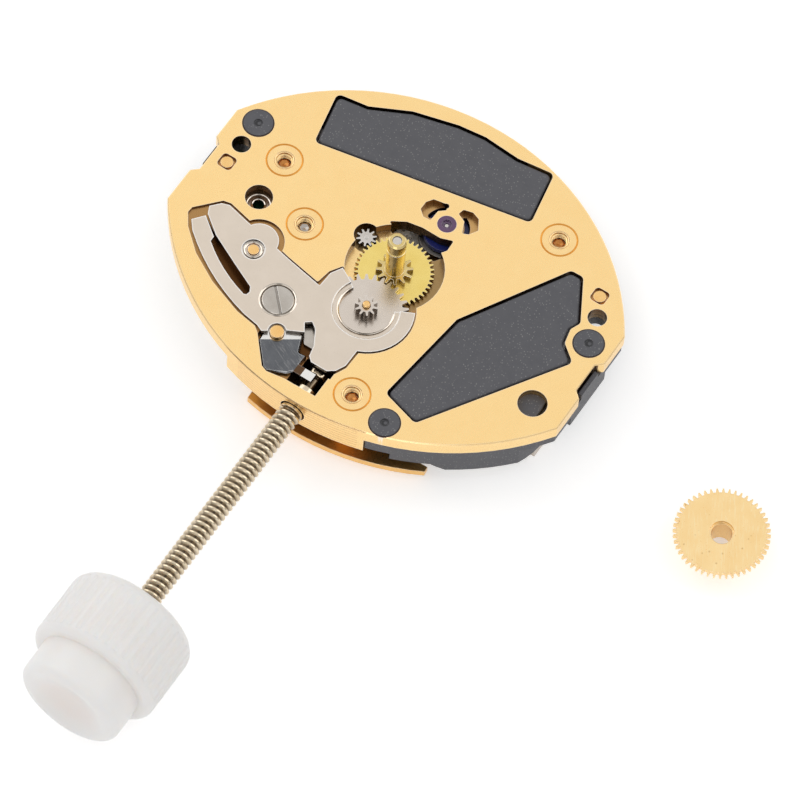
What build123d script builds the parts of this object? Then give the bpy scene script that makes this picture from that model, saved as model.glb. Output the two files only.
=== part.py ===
from build123d import *
from math import atan2, cos, degrees, hypot, radians, sin, sqrt
import os

# Quartz watch movement, dial side up, crown drawn out to the hand-setting place,
# with its hour wheel lying loose beside it.
# Millimetres. Origin: the hands' axis at the top face of the main plate.
# +Z leaves the dial side, +X runs out along the stem, +Y points to 12 o'clock.

full_turn = 360
half_turn = full_turn / 2
quarter_turn = full_turn / 4

# Clearances
running_gap = 0.02      # a turning shaft in its bearing, each side
window_gap = 0.08       # round the plastic in the plate's windows
peg_gap = 0.03          # round the plastic pegs
free_gap = 0.05         # beside a piece that moves or is dropped in
overrun = 0.5           # how far a cut runs past the faces it opens

# Main plate
plate_thick = 0.62
plate_edge = 0.04
plate_left = -7.45
plate_right = 7.05
flat_y = 8.85
flat_left = -2.45
flat_right = 2.35
notch_left = -0.75
notch_right = 0.55
notch_deep = 0.28
notch_slope = 0.26
block_low = -1.42
block_high_y = 2.95
block_low_y = -3.30
block_in_x = 5.90
channel_wall_y = 0.95
channel_in_x = 2.20

# Button cell and the plastic cup around it
cell_radius = 2.90
cell_at = (2.00, 4.85)
cell_top = -0.44
cell_low = -2.40
cell_seat_radius = 3.05
cell_seat_top = -0.33
cell_lid_low = -0.42
cup_radius = 3.40
cup_low = -2.05
clamp_strap_thick = 0.10
clamp_strap_wide = 1.30

# Levels of the plastic frame
frame_low = -1.12
frame_inset = 0.06
frame_width = 1.30
island_top = -0.02
island_low = -0.81
island_edge = 0.12      # rounding of the islands' top edges
peg_top = 0.03
peg_radius = 0.59
peg_mark_radius = 0.16
peg_mark_deep = 0.06
side_relief = 0.50      # how much narrower the frame is below the 4 o'clock rim
block_cut_y = 2.97
# deeper walls of the right rim: left, right, lower and upper ends, level, thickness
rim_walls = (
    (0.00, 8.00, block_cut_y, 3.90, -1.28, 0.55),
    (0.00, 8.00, 3.90, 6.25, -1.66, 0.55),
)
top_block_left = -1.30
top_block_right = 1.15
top_block_y = 8.15
top_block_low = -1.66
notch_block_top = -0.30

# Back plates
back_top = -2.20
back_low = -2.50
cover_back_inset = 0.75

# Stem, sliding pinion and crown
stem_z = -0.72
stem_radius = 0.475
stem_bore_radius = 0.53
pilot_radius = 0.20
pilot_end_x = 2.85
pilot_bore_end_x = 2.36
square_x = 3.88
square_side = 0.36
square_bore_side = 0.42
collar_x = 5.22
groove_x = 5.45
groove_end_x = 6.05
groove_radius = 0.24
stem_end_x = 18.6
pinion_shift = 0.30     # travel of the sliding pinion when the stem is pushed in
pinion_x = 3.60
pinion_long = 0.82
pinion_radius = 0.57
pinion_groove_x = 4.05
pinion_groove_wide = 0.25
pinion_groove_radius = 0.30
crown_teeth = 10
crown_tooth_deep = 0.22
crown_tooth_root = 0.34
crown_tooth_wide = 0.10
crown_x = 17.45
crown_radius = 2.62
crown_back_curve = 0.60
drum_end_x = 20.55
shoulder_curve = 0.30
boss_radius = 2.12
boss_end_x = 22.15
boss_curve = 0.40
dish_radius = 1.62
dish_deep = 0.30
flutes = 40
flute_radius = 0.13
flute_deep = 0.05
flute_start = 0.45
flute_end = 0.30

# Going train: teeth, spacing and levels
centre_teeth = 45
third_leaves = 10
third_at = (-0.63, -1.68)
third_teeth = 36
third_module = 0.074
inter_leaves = 9
inter_teeth = 40
inter_module = 0.068
rotor_leaves = 8
rotor_at = (-2.76, 0.595)
centre_low = -0.42
centre_top = -0.28
third_pinion_low = -0.45
third_pinion_top = -0.22
third_low = -1.14
third_top = -1.02
inter_low = -1.36
inter_top = -1.24
inter_pinion_top = -0.98
rotor_pinion_low = -1.42
rotor_pinion_top = -1.18
rotor_disc_low = -0.76
rotor_disc_top = -0.55
rotor_disc_radius = 0.88
magnet_radius = 0.52
magnet_core_radius = 0.14
magnet_low = -1.07
arbor_radius = 0.07
arbor_foot = -2.34
inter_arbor_top = -0.32
rotor_arbor_top = -0.12
centre_arbor_radius = 0.165
centre_pivot_radius = 0.10
centre_pivot_top = -2.10
post_top = 2.10
arbor_tip = 2.06

# Motion work
cannon_leaves = 12
minute_teeth = 30
minute_leaves = 10
minute_at = (2.15, 0.10)
minute_low = -0.25
minute_top = -0.13
minute_leaf_top = 0.32
minute_post_radius = 0.15
minute_post_top = 0.48
cannon_low = -0.26
cannon_leaf_top = -0.05
post_radius = 0.37
neck_at = 1.49
neck_deep = 0.06
post_edge = 0.07
hour_teeth = 48
hour_thick = 0.20
hour_pipe_long = 1.05
hour_pipe_radius = 0.63
hour_bore_radius = 0.41
hour_mouth_radius = 0.48
hour_mouth_deep = 0.12
hour_at = (1.78, 16.0)

# Tooth shape, as shares of the pitch angle and of the module
root_depth_share = 1.25
root_half_share = 0.29
tip_half_share = 0.11

# Keyless cover, screw, pins and levers
cover_top = 0.05
cover_low = -0.10
ring_radius = 1.87
lip_radius = 1.08
lip_step_radius = 1.30
lip_top = -0.02
screw_at = (3.72, -2.88)
screw_head_radius = 0.63
screw_head_high = 0.17
screw_sink_radius = 0.74
screw_sink_rim = 0.04
screw_sink_low = -0.20
screw_shank_radius = 0.30
screw_end = -0.60
slot_wide = 0.10
slot_deep = 0.08
slot_turn = 43
guide_at = (2.40, -4.87)
guide_radius = 0.22
guide_top = 0.04
guide_sink_radius = 0.44
bump_at = (1.95, -4.90)
bump_radius = 0.75
bump_room_radius = 0.97
lever_pin_at = (4.88, -2.15)
lever_pin_radius = 0.27
lever_pin_top = 0.04
lever_pin_low = -0.56
lever_notch_radius = 0.35
lever_low = -0.26
lever_top = -0.12
lever_edge = 0.05
finger_low = -0.46
finger_left = 5.53
finger_right = 5.90
finger_high_y = 0.05
yoke_low = -0.40
yoke_top = -0.28
yoke_pins = ((3.30, -1.62), (3.80, -1.62))
yoke_pin_radius = 0.10
yoke_pin_top = -0.11

# Plate pockets under the cover
recess_floor = -0.10
centre_recess_radius = 1.92
centre_floor = -0.48
lobe_radius = 0.50
wheel_pocket_floor = -0.28
wheel_pocket_radius = 1.72
yoke_floor = -0.43
lever_floor = -0.29
spring_floor = -0.42
window_floor = -1.32
window_end_x = 6.38
window_low_y = -0.79
window_high_y = 0.56
channel_floor = -1.34
channel_half_y = 0.64
channel_end_x = 5.46
channel_start_x = 3.40

# Small holes and pins of the plate
tube_at = ((-1.60, -6.09), (0.33, -3.89), (-4.62, 4.52), (5.52, 1.67))
tube_flange_radius = 0.71
tube_flange_thick = 0.22
tube_radius = 0.58
tube_bore_radius = 0.32
tube_mouth_radius = 0.40
tube_mouth_deep = 0.08
back_screw_radius = 0.30
back_screw_tip = -0.34
back_head_radius = 0.62
back_head_thick = 0.17
peg_at = ((-2.41, -7.84), (-1.42, 7.87), (5.85, 3.35))
foot_at = ((-1.25, -7.85), (-2.56, 7.54))
foot_radius = 0.375
clamp_at = ((-0.28, -7.87), (-3.41, 7.12))
clamp_radius = 0.25
clamp_pocket = 0.62
clamp_pocket_round = 0.16
clamp_pocket_deep = 0.14
clamp_top = -0.02
sight_at = (1.98, 7.50)
sight_radius = 0.575
contact_at = (0.33, -5.99)
contact_radius = 0.54
contact_ring_radius = 0.74
contact_eye_radius = 0.26
contact_thick = 0.10
contact_arm_long = 2.30
contact_arm_wide = 0.34
jewel_radius = 0.375
jewel_low = -0.42
jewel_cup_radius = 0.20
jewel_cup_deep = 0.08
jewel_bore_radius = 0.09
back_jewel_radius = 0.34
back_jewel_low = -2.45
kidney_radius = 0.80
kidney_wide = 0.22
kidney_spans = ((106, 150), (214, 262))
kidney_floor = -0.30
rotor_room_radius = 0.97
rotor_room_top = -0.50

# Coil, stator and circuit
coil_at = (-4.95, -1.25)
coil_turn = 10.8
coil_radius = 0.72
coil_long = 6.20
coil_z = -1.23
core_long = 9.20
core_wide = 1.00
core_thick = 0.28
stator_thick = 0.28
stator_hole_radius = 0.62
stator_ring_radius = 1.05
board_thick = 0.20
crystal_radius = 0.60
crystal_long = 4.30
crystal_at = (3.15, -5.35)
crystal_turn = 52
crystal_z = -1.50
chip_at = (0.35, -7.25)
chip_long = 1.50
chip_wide = 1.20
chip_thick = 0.45
bay_long = 9.50
bay_wide = 1.75

# Outlines in plan, each corner once
island_12 = (
    (-3.74, 5.62), (0.55, 3.18), (4.76, 2.68), (5.22, 4.30), (-0.35, 7.82),
    (-0.92, 7.11), (-1.56, 6.97), (-1.98, 7.15), (-3.76, 6.16),
)
island_9 = (
    (-6.98, 2.80), (-4.64, 3.22), (-2.93, -5.60), (-5.26, -6.06), (-5.46, -4.76),
    (-6.25, -3.22), (-6.74, -1.41), (-6.88, -0.27), (-6.78, 1.27),
)
kidneys = (
    (
        (-2.55, -0.02), (-2.53, -0.34), (-2.76, -0.60), (-3.13, -0.60), (-3.40, -0.42),
        (-3.52, 0.20), (-3.26, 0.24), (-3.05, 0.00),
    ),
    (
        (-3.40, 0.72), (-3.66, 0.78), (-3.76, 1.15), (-3.64, 1.48), (-3.20, 1.74),
        (-2.86, 1.54), (-2.74, 1.30), (-3.24, 1.08),
    ),
)
centre_window = (
    (-2.28, 1.22), (-1.78, 1.24), (-1.35, 0.95), (-1.20, 0.20), (-1.25, -0.60),
    (-1.62, -1.30), (-1.98, -0.72), (-2.10, -0.10), (-2.10, 0.72),
)
recess_points = (
    (2.15, 1.60), (3.67, 1.08), (3.85, 0.90), (4.70, 0.87), (5.07, 0.70),
    (5.33, window_high_y), (6.22, window_high_y), (window_end_x, 0.40), (6.40, window_low_y),
    (6.52, -1.55), (6.42, -1.82), (5.33, -2.74), (5.13, -2.99), (4.98, -3.90), (4.43, -5.40),
    (3.75, -6.60), (2.95, -7.50), (2.42, -7.86), (2.16, -7.84), (1.24, -7.02), (1.17, -6.70),
    (1.45, -5.50), (1.90, -3.60), (2.18, -2.08), (1.54, -1.97), (1.05, -1.66), (2.15, 0.10),
)
lever_pocket = (
    (4.05, -1.05), (4.90, -0.50), (6.40, -0.30), (6.40, window_low_y), (6.52, -1.55),
    (6.42, -1.82), (5.33, -2.74), (4.60, -2.80), (4.20, -2.30),
)
yoke_pocket = (
    (2.60, -1.28), (3.45, -1.18), (3.90, -0.60), (5.02, -0.60), (5.02, -1.20),
    (4.50, -1.40), (4.50, -1.98), (2.60, -1.98),
)
spring_pocket = (
    (3.80, -3.95), (4.32, -3.85), (4.10, -5.10), (3.20, -6.70), (2.55, -7.45),
    (2.15, -7.20), (2.70, -6.35), (3.35, -5.05),
)
cover_head = (
    (3.20, 1.30), (3.62, 1.16), (3.87, 0.82), (4.66, 0.81), (5.05, 0.62), (5.26, 0.34),
    (5.26, -0.36), (5.08, -0.56), (4.62, -0.66), (3.97, -1.02), (3.78, -1.28),
    (3.96, -1.50), (4.32, -1.27), (4.62, -1.84), (5.20, -2.66), (5.08, -2.92),
    (2.30, -2.92), (2.28, -1.92), (1.60, -1.88), (1.14, -1.62), (1.44, -1.08),
    (2.15, 0.10), (1.50, 1.20), (1.24, 1.74), (2.15, 1.90),
)
cover_leg = (
    (2.28, -2.00), (5.08, -2.92), (4.96, -3.60), (4.20, -4.00), (4.04, -3.96),
    (3.84, -4.06), (3.33, -5.12), (2.69, -6.40), (2.08, -7.18), (1.76, -7.32),
    (1.40, -7.00), (1.29, -6.70), (1.57, -5.50), (2.02, -3.40),
)
ring_opening = (
    (1.14, -1.62), (1.44, -1.08), (2.15, 0.10), (1.50, 1.20), (1.24, 1.74),
    (0.00, 2.10), (0.00, -2.10),
)
arm_outer = ((4.96, -3.60), (4.36, -5.22), (3.02, -7.26))
arm_foot = ((2.64, -7.56), (2.19, -7.20), (2.80, -6.42))
arm_inner = ((3.02, -6.42), (3.76, -5.30), (4.24, -4.10))
arm_root = ((4.12, -3.80), (4.85, -3.30))
lever_points = (
    (4.36, -1.30), (5.08, -1.02), (5.05, -0.66), (5.90, -0.76), (6.08, -0.88),
    (6.46, -1.60), (6.40, -1.80), (5.50, -2.58), (4.90, -2.62), (4.48, -2.40), (4.44, -1.90),
)
yoke_points = (
    (2.75, -1.42), (3.55, -1.30), (4.03, -0.98), (4.09, -0.62), (4.09, 0.22), (4.26, 0.22),
    (4.26, -0.62), (4.60, -0.70), (4.60, -1.10), (4.10, -1.45), (4.10, -1.86), (2.75, -1.86),
)
stator_points = (
    (-5.70, 2.12), (-5.80, 2.66), (-5.21, 2.77), (-2.70, 1.75), (-1.90, 1.20),
    (-1.72, 0.60), (-2.05, -0.12), (-2.62, -0.45), (-2.75, -2.60), (-2.72, -4.60),
    (-3.71, -5.09), (-4.30, -5.20), (-4.42, -4.56), (-3.58, -4.35), (-4.72, 2.15),
)
bridge_points = (
    (8.00, -2.05), (4.00, -2.25), (1.55, -4.85), (-0.85, -4.85), (-1.60, -3.40),
    (-3.65, -1.20), (-3.90, 1.60), (-2.60, 2.30), (2.00, 4.85), (8.00, 5.40),
)
circuit_cover_points = (
    (-9.00, 5.50), (-3.70, 5.50), (-3.55, 3.90), (-4.12, 1.80), (-3.88, -1.28),
    (-1.82, -3.48), (-1.02, -5.05), (1.65, -5.05), (4.10, -2.55), (6.00, -2.55),
    (9.00, -9.00), (-9.00, -9.00),
)
board_points = (
    (-3.15, -6.50), (-2.40, -8.20), (2.30, -8.20), (4.50, -5.90), (5.30, -3.40),
    (1.40, -3.30), (-1.00, -3.45), (-2.50, -4.60),
)
corner_round = 0.12
island_round = 0.22
small_round = 0.06

os.makedirs("parts", exist_ok=True)


def export(part, label):
    """Name a finished piece and write its file."""
    part.label = label
    export_step(part, f"parts/{label}.step")


def plug(at, radius, low, high, mode=Mode.ADD):
    """A round pin or hole from `low` up to `high`."""
    with BuildSketch(Plane.XY.offset(low)) as face:
        with Locations(at):
            Circle(radius)
    extrude(face.sketch, amount=high - low, mode=mode)


def hole(at, radius):
    """A round hole right through the main plate."""
    plug(at, radius, -plate_thick - overrun, overrun, Mode.SUBTRACT)


def box(x_low, x_high, y_low, y_high, low, high, mode=Mode.ADD):
    """A block between two corners."""
    with BuildSketch(Plane.XY.offset(low)) as face:
        with Locations(((x_low + x_high) / 2, (y_low + y_high) / 2)):
            Rectangle(x_high - x_low, y_high - y_low)
    extrude(face.sketch, amount=high - low, mode=mode)


def slab(points, low, high, rounding=0, inset=0, mode=Mode.ADD):
    """A flat piece or pocket with straight sides, drawn in by `inset`, corners rounded."""
    with BuildSketch(Plane.XY.offset(low)) as face:
        with BuildLine():
            Polyline(*points, close=True)
        make_face()
        if inset:
            offset(amount=-inset, kind=Kind.INTERSECTION, mode=Mode.REPLACE)
        if rounding:
            fillet(face.vertices(), rounding)
    extrude(face.sketch, amount=high - low, mode=mode)


def pocket(points, floor, rounding=small_round):
    """A pocket sunk from the dial side down to `floor`."""
    slab(points, floor, overrun, rounding, mode=Mode.SUBTRACT)


def rod(start, end, radius, mode=Mode.ADD):
    """A round bar or bore along the stem's axis."""
    with BuildSketch(Plane.YZ.offset(start)) as face:
        with Locations((0, stem_z)):
            Circle(radius)
    extrude(face.sketch, amount=end - start, mode=mode)


def groove(start, wide, radius):
    """A groove turned down to `radius` in a bar on the stem's axis."""
    with BuildSketch(Plane.YZ.offset(start)) as face:
        with Locations((0, stem_z)):
            Circle(crown_radius)
            Circle(radius, mode=Mode.SUBTRACT)
    extrude(face.sketch, amount=wide, mode=Mode.SUBTRACT)


def square_bar(start, end, side, mode=Mode.ADD):
    """A square bar or bore along the stem's axis."""
    with BuildSketch(Plane.YZ.offset(start)) as face:
        with Locations((0, stem_z)):
            Rectangle(side, side)
    extrude(face.sketch, amount=end - start, mode=mode)


def draw_plate_outline():
    """The oval of the main plate, in the sketch that is open."""
    with BuildLine() as outline:
        right = ThreePointArc((flat_right, -flat_y), (plate_right, 0), (flat_right, flat_y))
        top = Line(right @ 1, (flat_left, flat_y))
        left = ThreePointArc(top @ 1, (plate_left, 0), (flat_left, -flat_y))
        Line(left @ 1, right @ 0)
    make_face(outline.edges())


def plate_blank(low, high, inset=0, mode=Mode.ADD):
    """The plate's oval as a block, drawn in by `inset`."""
    with BuildSketch(Plane.XY.offset(low)) as face:
        draw_plate_outline()
        if inset:
            offset(amount=-inset, kind=Kind.INTERSECTION, mode=Mode.REPLACE)
    extrude(face.sketch, amount=high - low, mode=mode)


def notch_cut(low, high):
    """The shallow notches in the flats at 12 and 6 o'clock."""
    edge = flat_y + overrun
    bed = flat_y - notch_deep
    for side in (1, -1):
        points = (
            (notch_left - notch_slope, side * edge), (notch_left - notch_slope, side * flat_y),
            (notch_left, side * bed), (notch_right, side * bed),
            (notch_right + notch_slope, side * flat_y), (notch_right + notch_slope, side * edge),
        )
        slab(points, low, high, mode=Mode.SUBTRACT)


def screw_slot(at, radius, low, high):
    """A driver slot across a round head."""
    with BuildSketch(Plane.XY.offset(low)) as face:
        with Locations(at):
            Rectangle(2 * radius, slot_wide, rotation=slot_turn)
    extrude(face.sketch, amount=high - low, mode=Mode.SUBTRACT)


def screw_seat(at):
    """Sink and hole for a back screw, in a back plate."""
    plug(at, back_head_radius + running_gap, back_low, back_low + back_head_thick, Mode.SUBTRACT)
    plug(at, back_screw_radius + running_gap, back_low, back_top, Mode.SUBTRACT)


def coil_shape(radius, length, mode=Mode.ADD):
    """A round bar along the coil's axis."""
    with Locations(Location((*coil_at, coil_z), (0, 0, coil_turn))):
        Cylinder(radius, length, rotation=(quarter_turn, 0, 0), mode=mode)


def core_shape(mode=Mode.ADD):
    """The flat strip through the coil."""
    with Locations(Location((*coil_at, coil_z), (0, 0, coil_turn))):
        Box(core_wide, core_long, core_thick, mode=mode)


def stator_ends(low, high, mode=Mode.ADD):
    """The stator's two ends, as wide as the core and lying on it beyond the coil."""
    with BuildSketch(Plane.XY.offset(low)) as face:
        with Locations(coil_at):
            Rectangle(core_wide, core_long, rotation=coil_turn)
            Rectangle(2 * core_wide, coil_long + 2 * window_gap, rotation=coil_turn, mode=Mode.SUBTRACT)
    extrude(face.sketch, amount=high - low, mode=mode)


def crystal_shape(grow=0, mode=Mode.ADD):
    """The crystal's round can lying in the board."""
    with Locations(Location((*crystal_at, crystal_z), (0, 0, crystal_turn))):
        Cylinder(
            crystal_radius + grow, crystal_long + 2 * grow,
            rotation=(0, quarter_turn, 0), mode=mode,
        )


def clear_cell():
    """Room for the button cell, up to the lid over it."""
    plug(cell_at, cell_radius + free_gap, cup_low - overrun, cell_lid_low, Mode.SUBTRACT)


def turned_point(at, distance, angle):
    """The point at a distance and an angle from `at`."""
    turn = radians(angle)
    return (at[0] + distance * cos(turn), at[1] + distance * sin(turn))


def bearing_angle(start, end):
    """The angle of the line from `start` to `end`."""
    return degrees(atan2(end[1] - start[1], end[0] - start[0]))


def mesh_turn(line_angle, teeth, turn, mate_teeth):
    """How far the mate must be turned for its gap to meet this wheel's tooth."""
    return line_angle + half_turn - half_turn / mate_teeth + (line_angle - turn) * teeth / mate_teeth


def tip_radius(teeth, module):
    """Outside radius of a wheel."""
    return module * (teeth / 2 + 1)


def gear(at, teeth, module, low, high, turn=0, base=Plane.XY):
    """A toothed disc from `low` to `high` above the base plane."""
    root = module * (teeth / 2 - root_depth_share)
    tip = tip_radius(teeth, module)
    step = full_turn / teeth
    shape = (
        (root, -root_half_share), (tip, -tip_half_share),
        (tip, tip_half_share), (root, root_half_share),
    )
    points = [
        turned_point(at, radius, turn + (k + share) * step)
        for k in range(teeth)
        for radius, share in shape
    ]
    with BuildSketch(base.offset(low)) as face:
        with BuildLine():
            Polyline(*points, close=True)
        make_face()
    extrude(face.sketch, amount=high - low)


# Spacing worked out from the places above
third_spacing = hypot(*third_at)
centre_module = 2 * third_spacing / (centre_teeth + third_leaves)
minute_spacing = hypot(*minute_at)
minute_module = 2 * minute_spacing / (cannon_leaves + minute_teeth)
hour_module = 2 * minute_spacing / (hour_teeth + minute_leaves)

# The intermediate wheel stands where both its meshes come to their spacing
rotor_spacing = inter_module * (rotor_leaves + inter_teeth) / 2
inter_spacing = third_module * (inter_leaves + third_teeth) / 2
span = hypot(third_at[0] - rotor_at[0], third_at[1] - rotor_at[1])
along = (rotor_spacing**2 - inter_spacing**2 + span**2) / (2 * span)
aside = sqrt(rotor_spacing**2 - along**2)
span_angle = bearing_angle(rotor_at, third_at)
inter_at = turned_point(
    turned_point(rotor_at, along, span_angle), aside, span_angle - quarter_turn
)

# Turns that bring each pair of wheels into mesh; a tooth of the minute wheel
# points at the sliding pinion, which has a gap there
centre_turn = 0
third_pinion_turn = mesh_turn(bearing_angle((0, 0), third_at), centre_teeth, centre_turn, third_leaves)
third_turn = 0
inter_pinion_turn = mesh_turn(bearing_angle(third_at, inter_at), third_teeth, third_turn, inter_leaves)
inter_turn = 0
rotor_turn = mesh_turn(bearing_angle(inter_at, rotor_at), inter_teeth, inter_turn, rotor_leaves)
minute_turn = bearing_angle(minute_at, (pinion_x, 0))
cannon_turn = mesh_turn(bearing_angle(minute_at, (0, 0)), minute_teeth, minute_turn, cannon_leaves)

# The bench: the crown's back edge and the far edge of the back stand on it
bench_slope = (crown_radius - stem_z + back_low) / (crown_x + crown_back_curve - plate_left)
bench_tilt = atan2(bench_slope, 1)
hour_floor = back_low - bench_slope * (hour_at[0] - plate_left)
hour_base = Plane(
    origin=(*hour_at, hour_floor),
    x_dir=(cos(bench_tilt), 0, -sin(bench_tilt)),
    z_dir=(sin(bench_tilt), 0, cos(bench_tilt)),
)

# The thick block under the plate that carries the stem
with BuildPart() as stem_block:
    plate_blank(block_low, -plate_thick)
    with BuildSketch(Plane.XY.offset(block_low)):
        with Locations(((block_in_x + plate_right) / 2, (block_low_y + block_high_y) / 2)):
            Rectangle(plate_right - block_in_x, block_high_y - block_low_y)
        with Locations(((channel_in_x + plate_right) / 2, 0)):
            Rectangle(plate_right - channel_in_x, 2 * channel_wall_y)
    extrude(amount=-block_low, mode=Mode.INTERSECT)


def cut_openings():
    """Windows for the plastic islands and the round recess over the train."""
    slab(island_12, -plate_thick - overrun, overrun, island_round, mode=Mode.SUBTRACT)
    slab(island_9, -plate_thick - overrun, overrun, island_round, mode=Mode.SUBTRACT)
    plug((0, 0), centre_recess_radius, centre_floor, overrun, Mode.SUBTRACT)
    plug(third_at, lobe_radius, centre_floor, overrun, Mode.SUBTRACT)
    slab(centre_window, -plate_thick - overrun, overrun, small_round, mode=Mode.SUBTRACT)


def cut_cover_recess():
    """The shallow recess of the keyless cover with the deeper pockets under it."""
    pocket(recess_points, recess_floor)
    plug(minute_at, ring_radius + free_gap, recess_floor, overrun, Mode.SUBTRACT)
    plug(bump_at, bump_room_radius, recess_floor, overrun, Mode.SUBTRACT)
    plug(minute_at, wheel_pocket_radius, wheel_pocket_floor, overrun, Mode.SUBTRACT)
    plug(screw_at, screw_sink_radius + free_gap, screw_sink_low, 0, Mode.SUBTRACT)
    pocket(yoke_pocket, yoke_floor)
    pocket(lever_pocket, lever_floor)
    pocket(spring_pocket, spring_floor)


def cut_stem_way():
    """Channel, window and bores for the stem and the sliding pinion."""
    box(channel_start_x, channel_end_x, -channel_half_y, channel_half_y,
        channel_floor, overrun, Mode.SUBTRACT)
    box(channel_end_x, window_end_x, window_low_y, window_high_y,
        window_floor, overrun, Mode.SUBTRACT)
    rod(channel_end_x, plate_right + overrun, stem_bore_radius, Mode.SUBTRACT)
    rod(pilot_bore_end_x, channel_start_x, pilot_radius + running_gap, Mode.SUBTRACT)


def cut_pin_holes():
    """Round holes for tubes, pegs, dial feet, clamp pins, pins, screw and jewel."""
    for at in tube_at:
        plug(at, tube_flange_radius, -tube_flange_thick, overrun, Mode.SUBTRACT)
        plug(at, tube_radius, block_low - overrun, overrun, Mode.SUBTRACT)
    for at in peg_at:
        hole(at, peg_radius + peg_gap)
    for at in foot_at:
        hole(at, foot_radius)
    for at in clamp_at:
        hole(at, clamp_radius)
        with BuildSketch(Plane.XY.offset(-clamp_pocket_deep)) as face:
            with Locations(at):
                RectangleRounded(clamp_pocket, clamp_pocket, clamp_pocket_round)
        extrude(face.sketch, amount=overrun, mode=Mode.SUBTRACT)
    hole(sight_at, sight_radius)
    hole(contact_at, contact_radius)
    hole(rotor_at, jewel_radius)
    hole(minute_at, minute_post_radius)
    hole(screw_at, screw_shank_radius)
    hole(guide_at, guide_radius)
    plug(lever_pin_at, lever_pin_radius, lever_pin_low, 0, Mode.SUBTRACT)


def cut_train_bearings():
    """Holes for the arbors, room below for the rotor, and the two sunk slots over it."""
    hole((0, 0), centre_arbor_radius + running_gap)
    hole(third_at, arbor_radius + running_gap)
    plug(inter_at, arbor_radius + running_gap, -plate_thick - overrun,
         inter_arbor_top + running_gap, Mode.SUBTRACT)
    plug(rotor_at, rotor_room_radius, -plate_thick - overrun, rotor_room_top, Mode.SUBTRACT)
    for kidney in kidneys:
        pocket(kidney, kidney_floor)
    for start, end in kidney_spans:
        with BuildSketch(Plane.XY.offset(-plate_thick - overrun)) as face:
            with BuildLine(mode=Mode.PRIVATE) as path:
                CenterArc(rotor_at, kidney_radius, start, end - start)
            SlotArc(path.edges()[0], kidney_wide)
        extrude(face.sketch, amount=plate_thick + 2 * overrun, mode=Mode.SUBTRACT)


# Main plate: gold-plated brass, pressed and milled, with two short pins for the yoke
with BuildPart() as main_plate:
    plate_blank(-plate_thick, 0)
    notch_cut(-plate_thick - overrun, overrun)
    chamfer(main_plate.faces().sort_by(Axis.Z)[-1].edges(), plate_edge)
    add(stem_block.part)
    plug(cell_at, cell_seat_radius, -plate_thick - overrun, cell_seat_top, Mode.SUBTRACT)
    cut_openings()
    cut_cover_recess()
    cut_stem_way()
    cut_pin_holes()
    cut_train_bearings()
    for at in yoke_pins:
        plug(at, yoke_pin_radius, yoke_floor, yoke_pin_top)
export(main_plate.part, "main_plate")

# The cup of the plastic frame round the button cell, with its thin lid
with BuildPart() as cell_cup:
    plate_blank(cup_low, -plate_thick, frame_inset)
    with BuildSketch(Plane.XY.offset(cup_low)):
        with Locations(cell_at):
            Circle(cup_radius)
    extrude(amount=-cup_low, mode=Mode.INTERSECT)
    plug(cell_at, cell_seat_radius - free_gap, -plate_thick, cell_seat_top)
    clear_cell()


def add_top_block():
    """The block under the 12 o'clock flat, standing up into the notch."""
    box(top_block_left, top_block_right, top_block_y, flat_y - frame_inset,
        top_block_low, -plate_thick)
    box(notch_left + free_gap, notch_right - free_gap, flat_y - notch_deep + free_gap,
        flat_y - frame_inset, -plate_thick, notch_block_top)


def add_pegs():
    """Pegs that locate the plate, each with a small moulded mark."""
    for at in peg_at:
        plug(at, peg_radius, -plate_thick, peg_top)
        plug(at, peg_mark_radius, peg_top - peg_mark_deep, peg_top, Mode.SUBTRACT)


# The frame's rim under the edge of the plate, narrower below the 4 o'clock side
with BuildPart() as frame_side:
    plate_blank(frame_low, -plate_thick)
    plate_blank(frame_low, -plate_thick, side_relief, Mode.SUBTRACT)
    box(0, flat_y, -flat_y - overrun, block_low_y, frame_low, -plate_thick, Mode.INTERSECT)
with BuildPart() as frame_rim:
    plate_blank(frame_low, -plate_thick, frame_inset)
    plate_blank(frame_low, -plate_thick, frame_width, Mode.SUBTRACT)
    add_pegs()
    add_top_block()
    add(frame_side.part, mode=Mode.SUBTRACT)
    clear_cell()


def rim_wall(x_low, x_high, y_low, y_high, low, thick):
    """A stretch of deeper wall under the rim."""
    with BuildPart() as wall:
        plate_blank(low, -plate_thick, frame_inset)
        plate_blank(low, -plate_thick, thick, Mode.SUBTRACT)
        box(x_low, x_high, y_low, y_high, low, -plate_thick, Mode.INTERSECT)
        clear_cell()
    return wall.part


deep_walls = [rim_wall(*wall) for wall in rim_walls]

# The islands that fill the plate's windows, softly rounded at the top
with BuildPart() as islands:
    slab(island_12, -plate_thick, island_top, island_round, window_gap)
    slab(island_9, island_low, island_top, island_round, window_gap)
    fillet(islands.faces().group_by(Axis.Z)[-1].edges(), island_edge)
    slab(island_12, frame_low, -plate_thick, island_round, window_gap)
    clear_cell()


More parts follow.
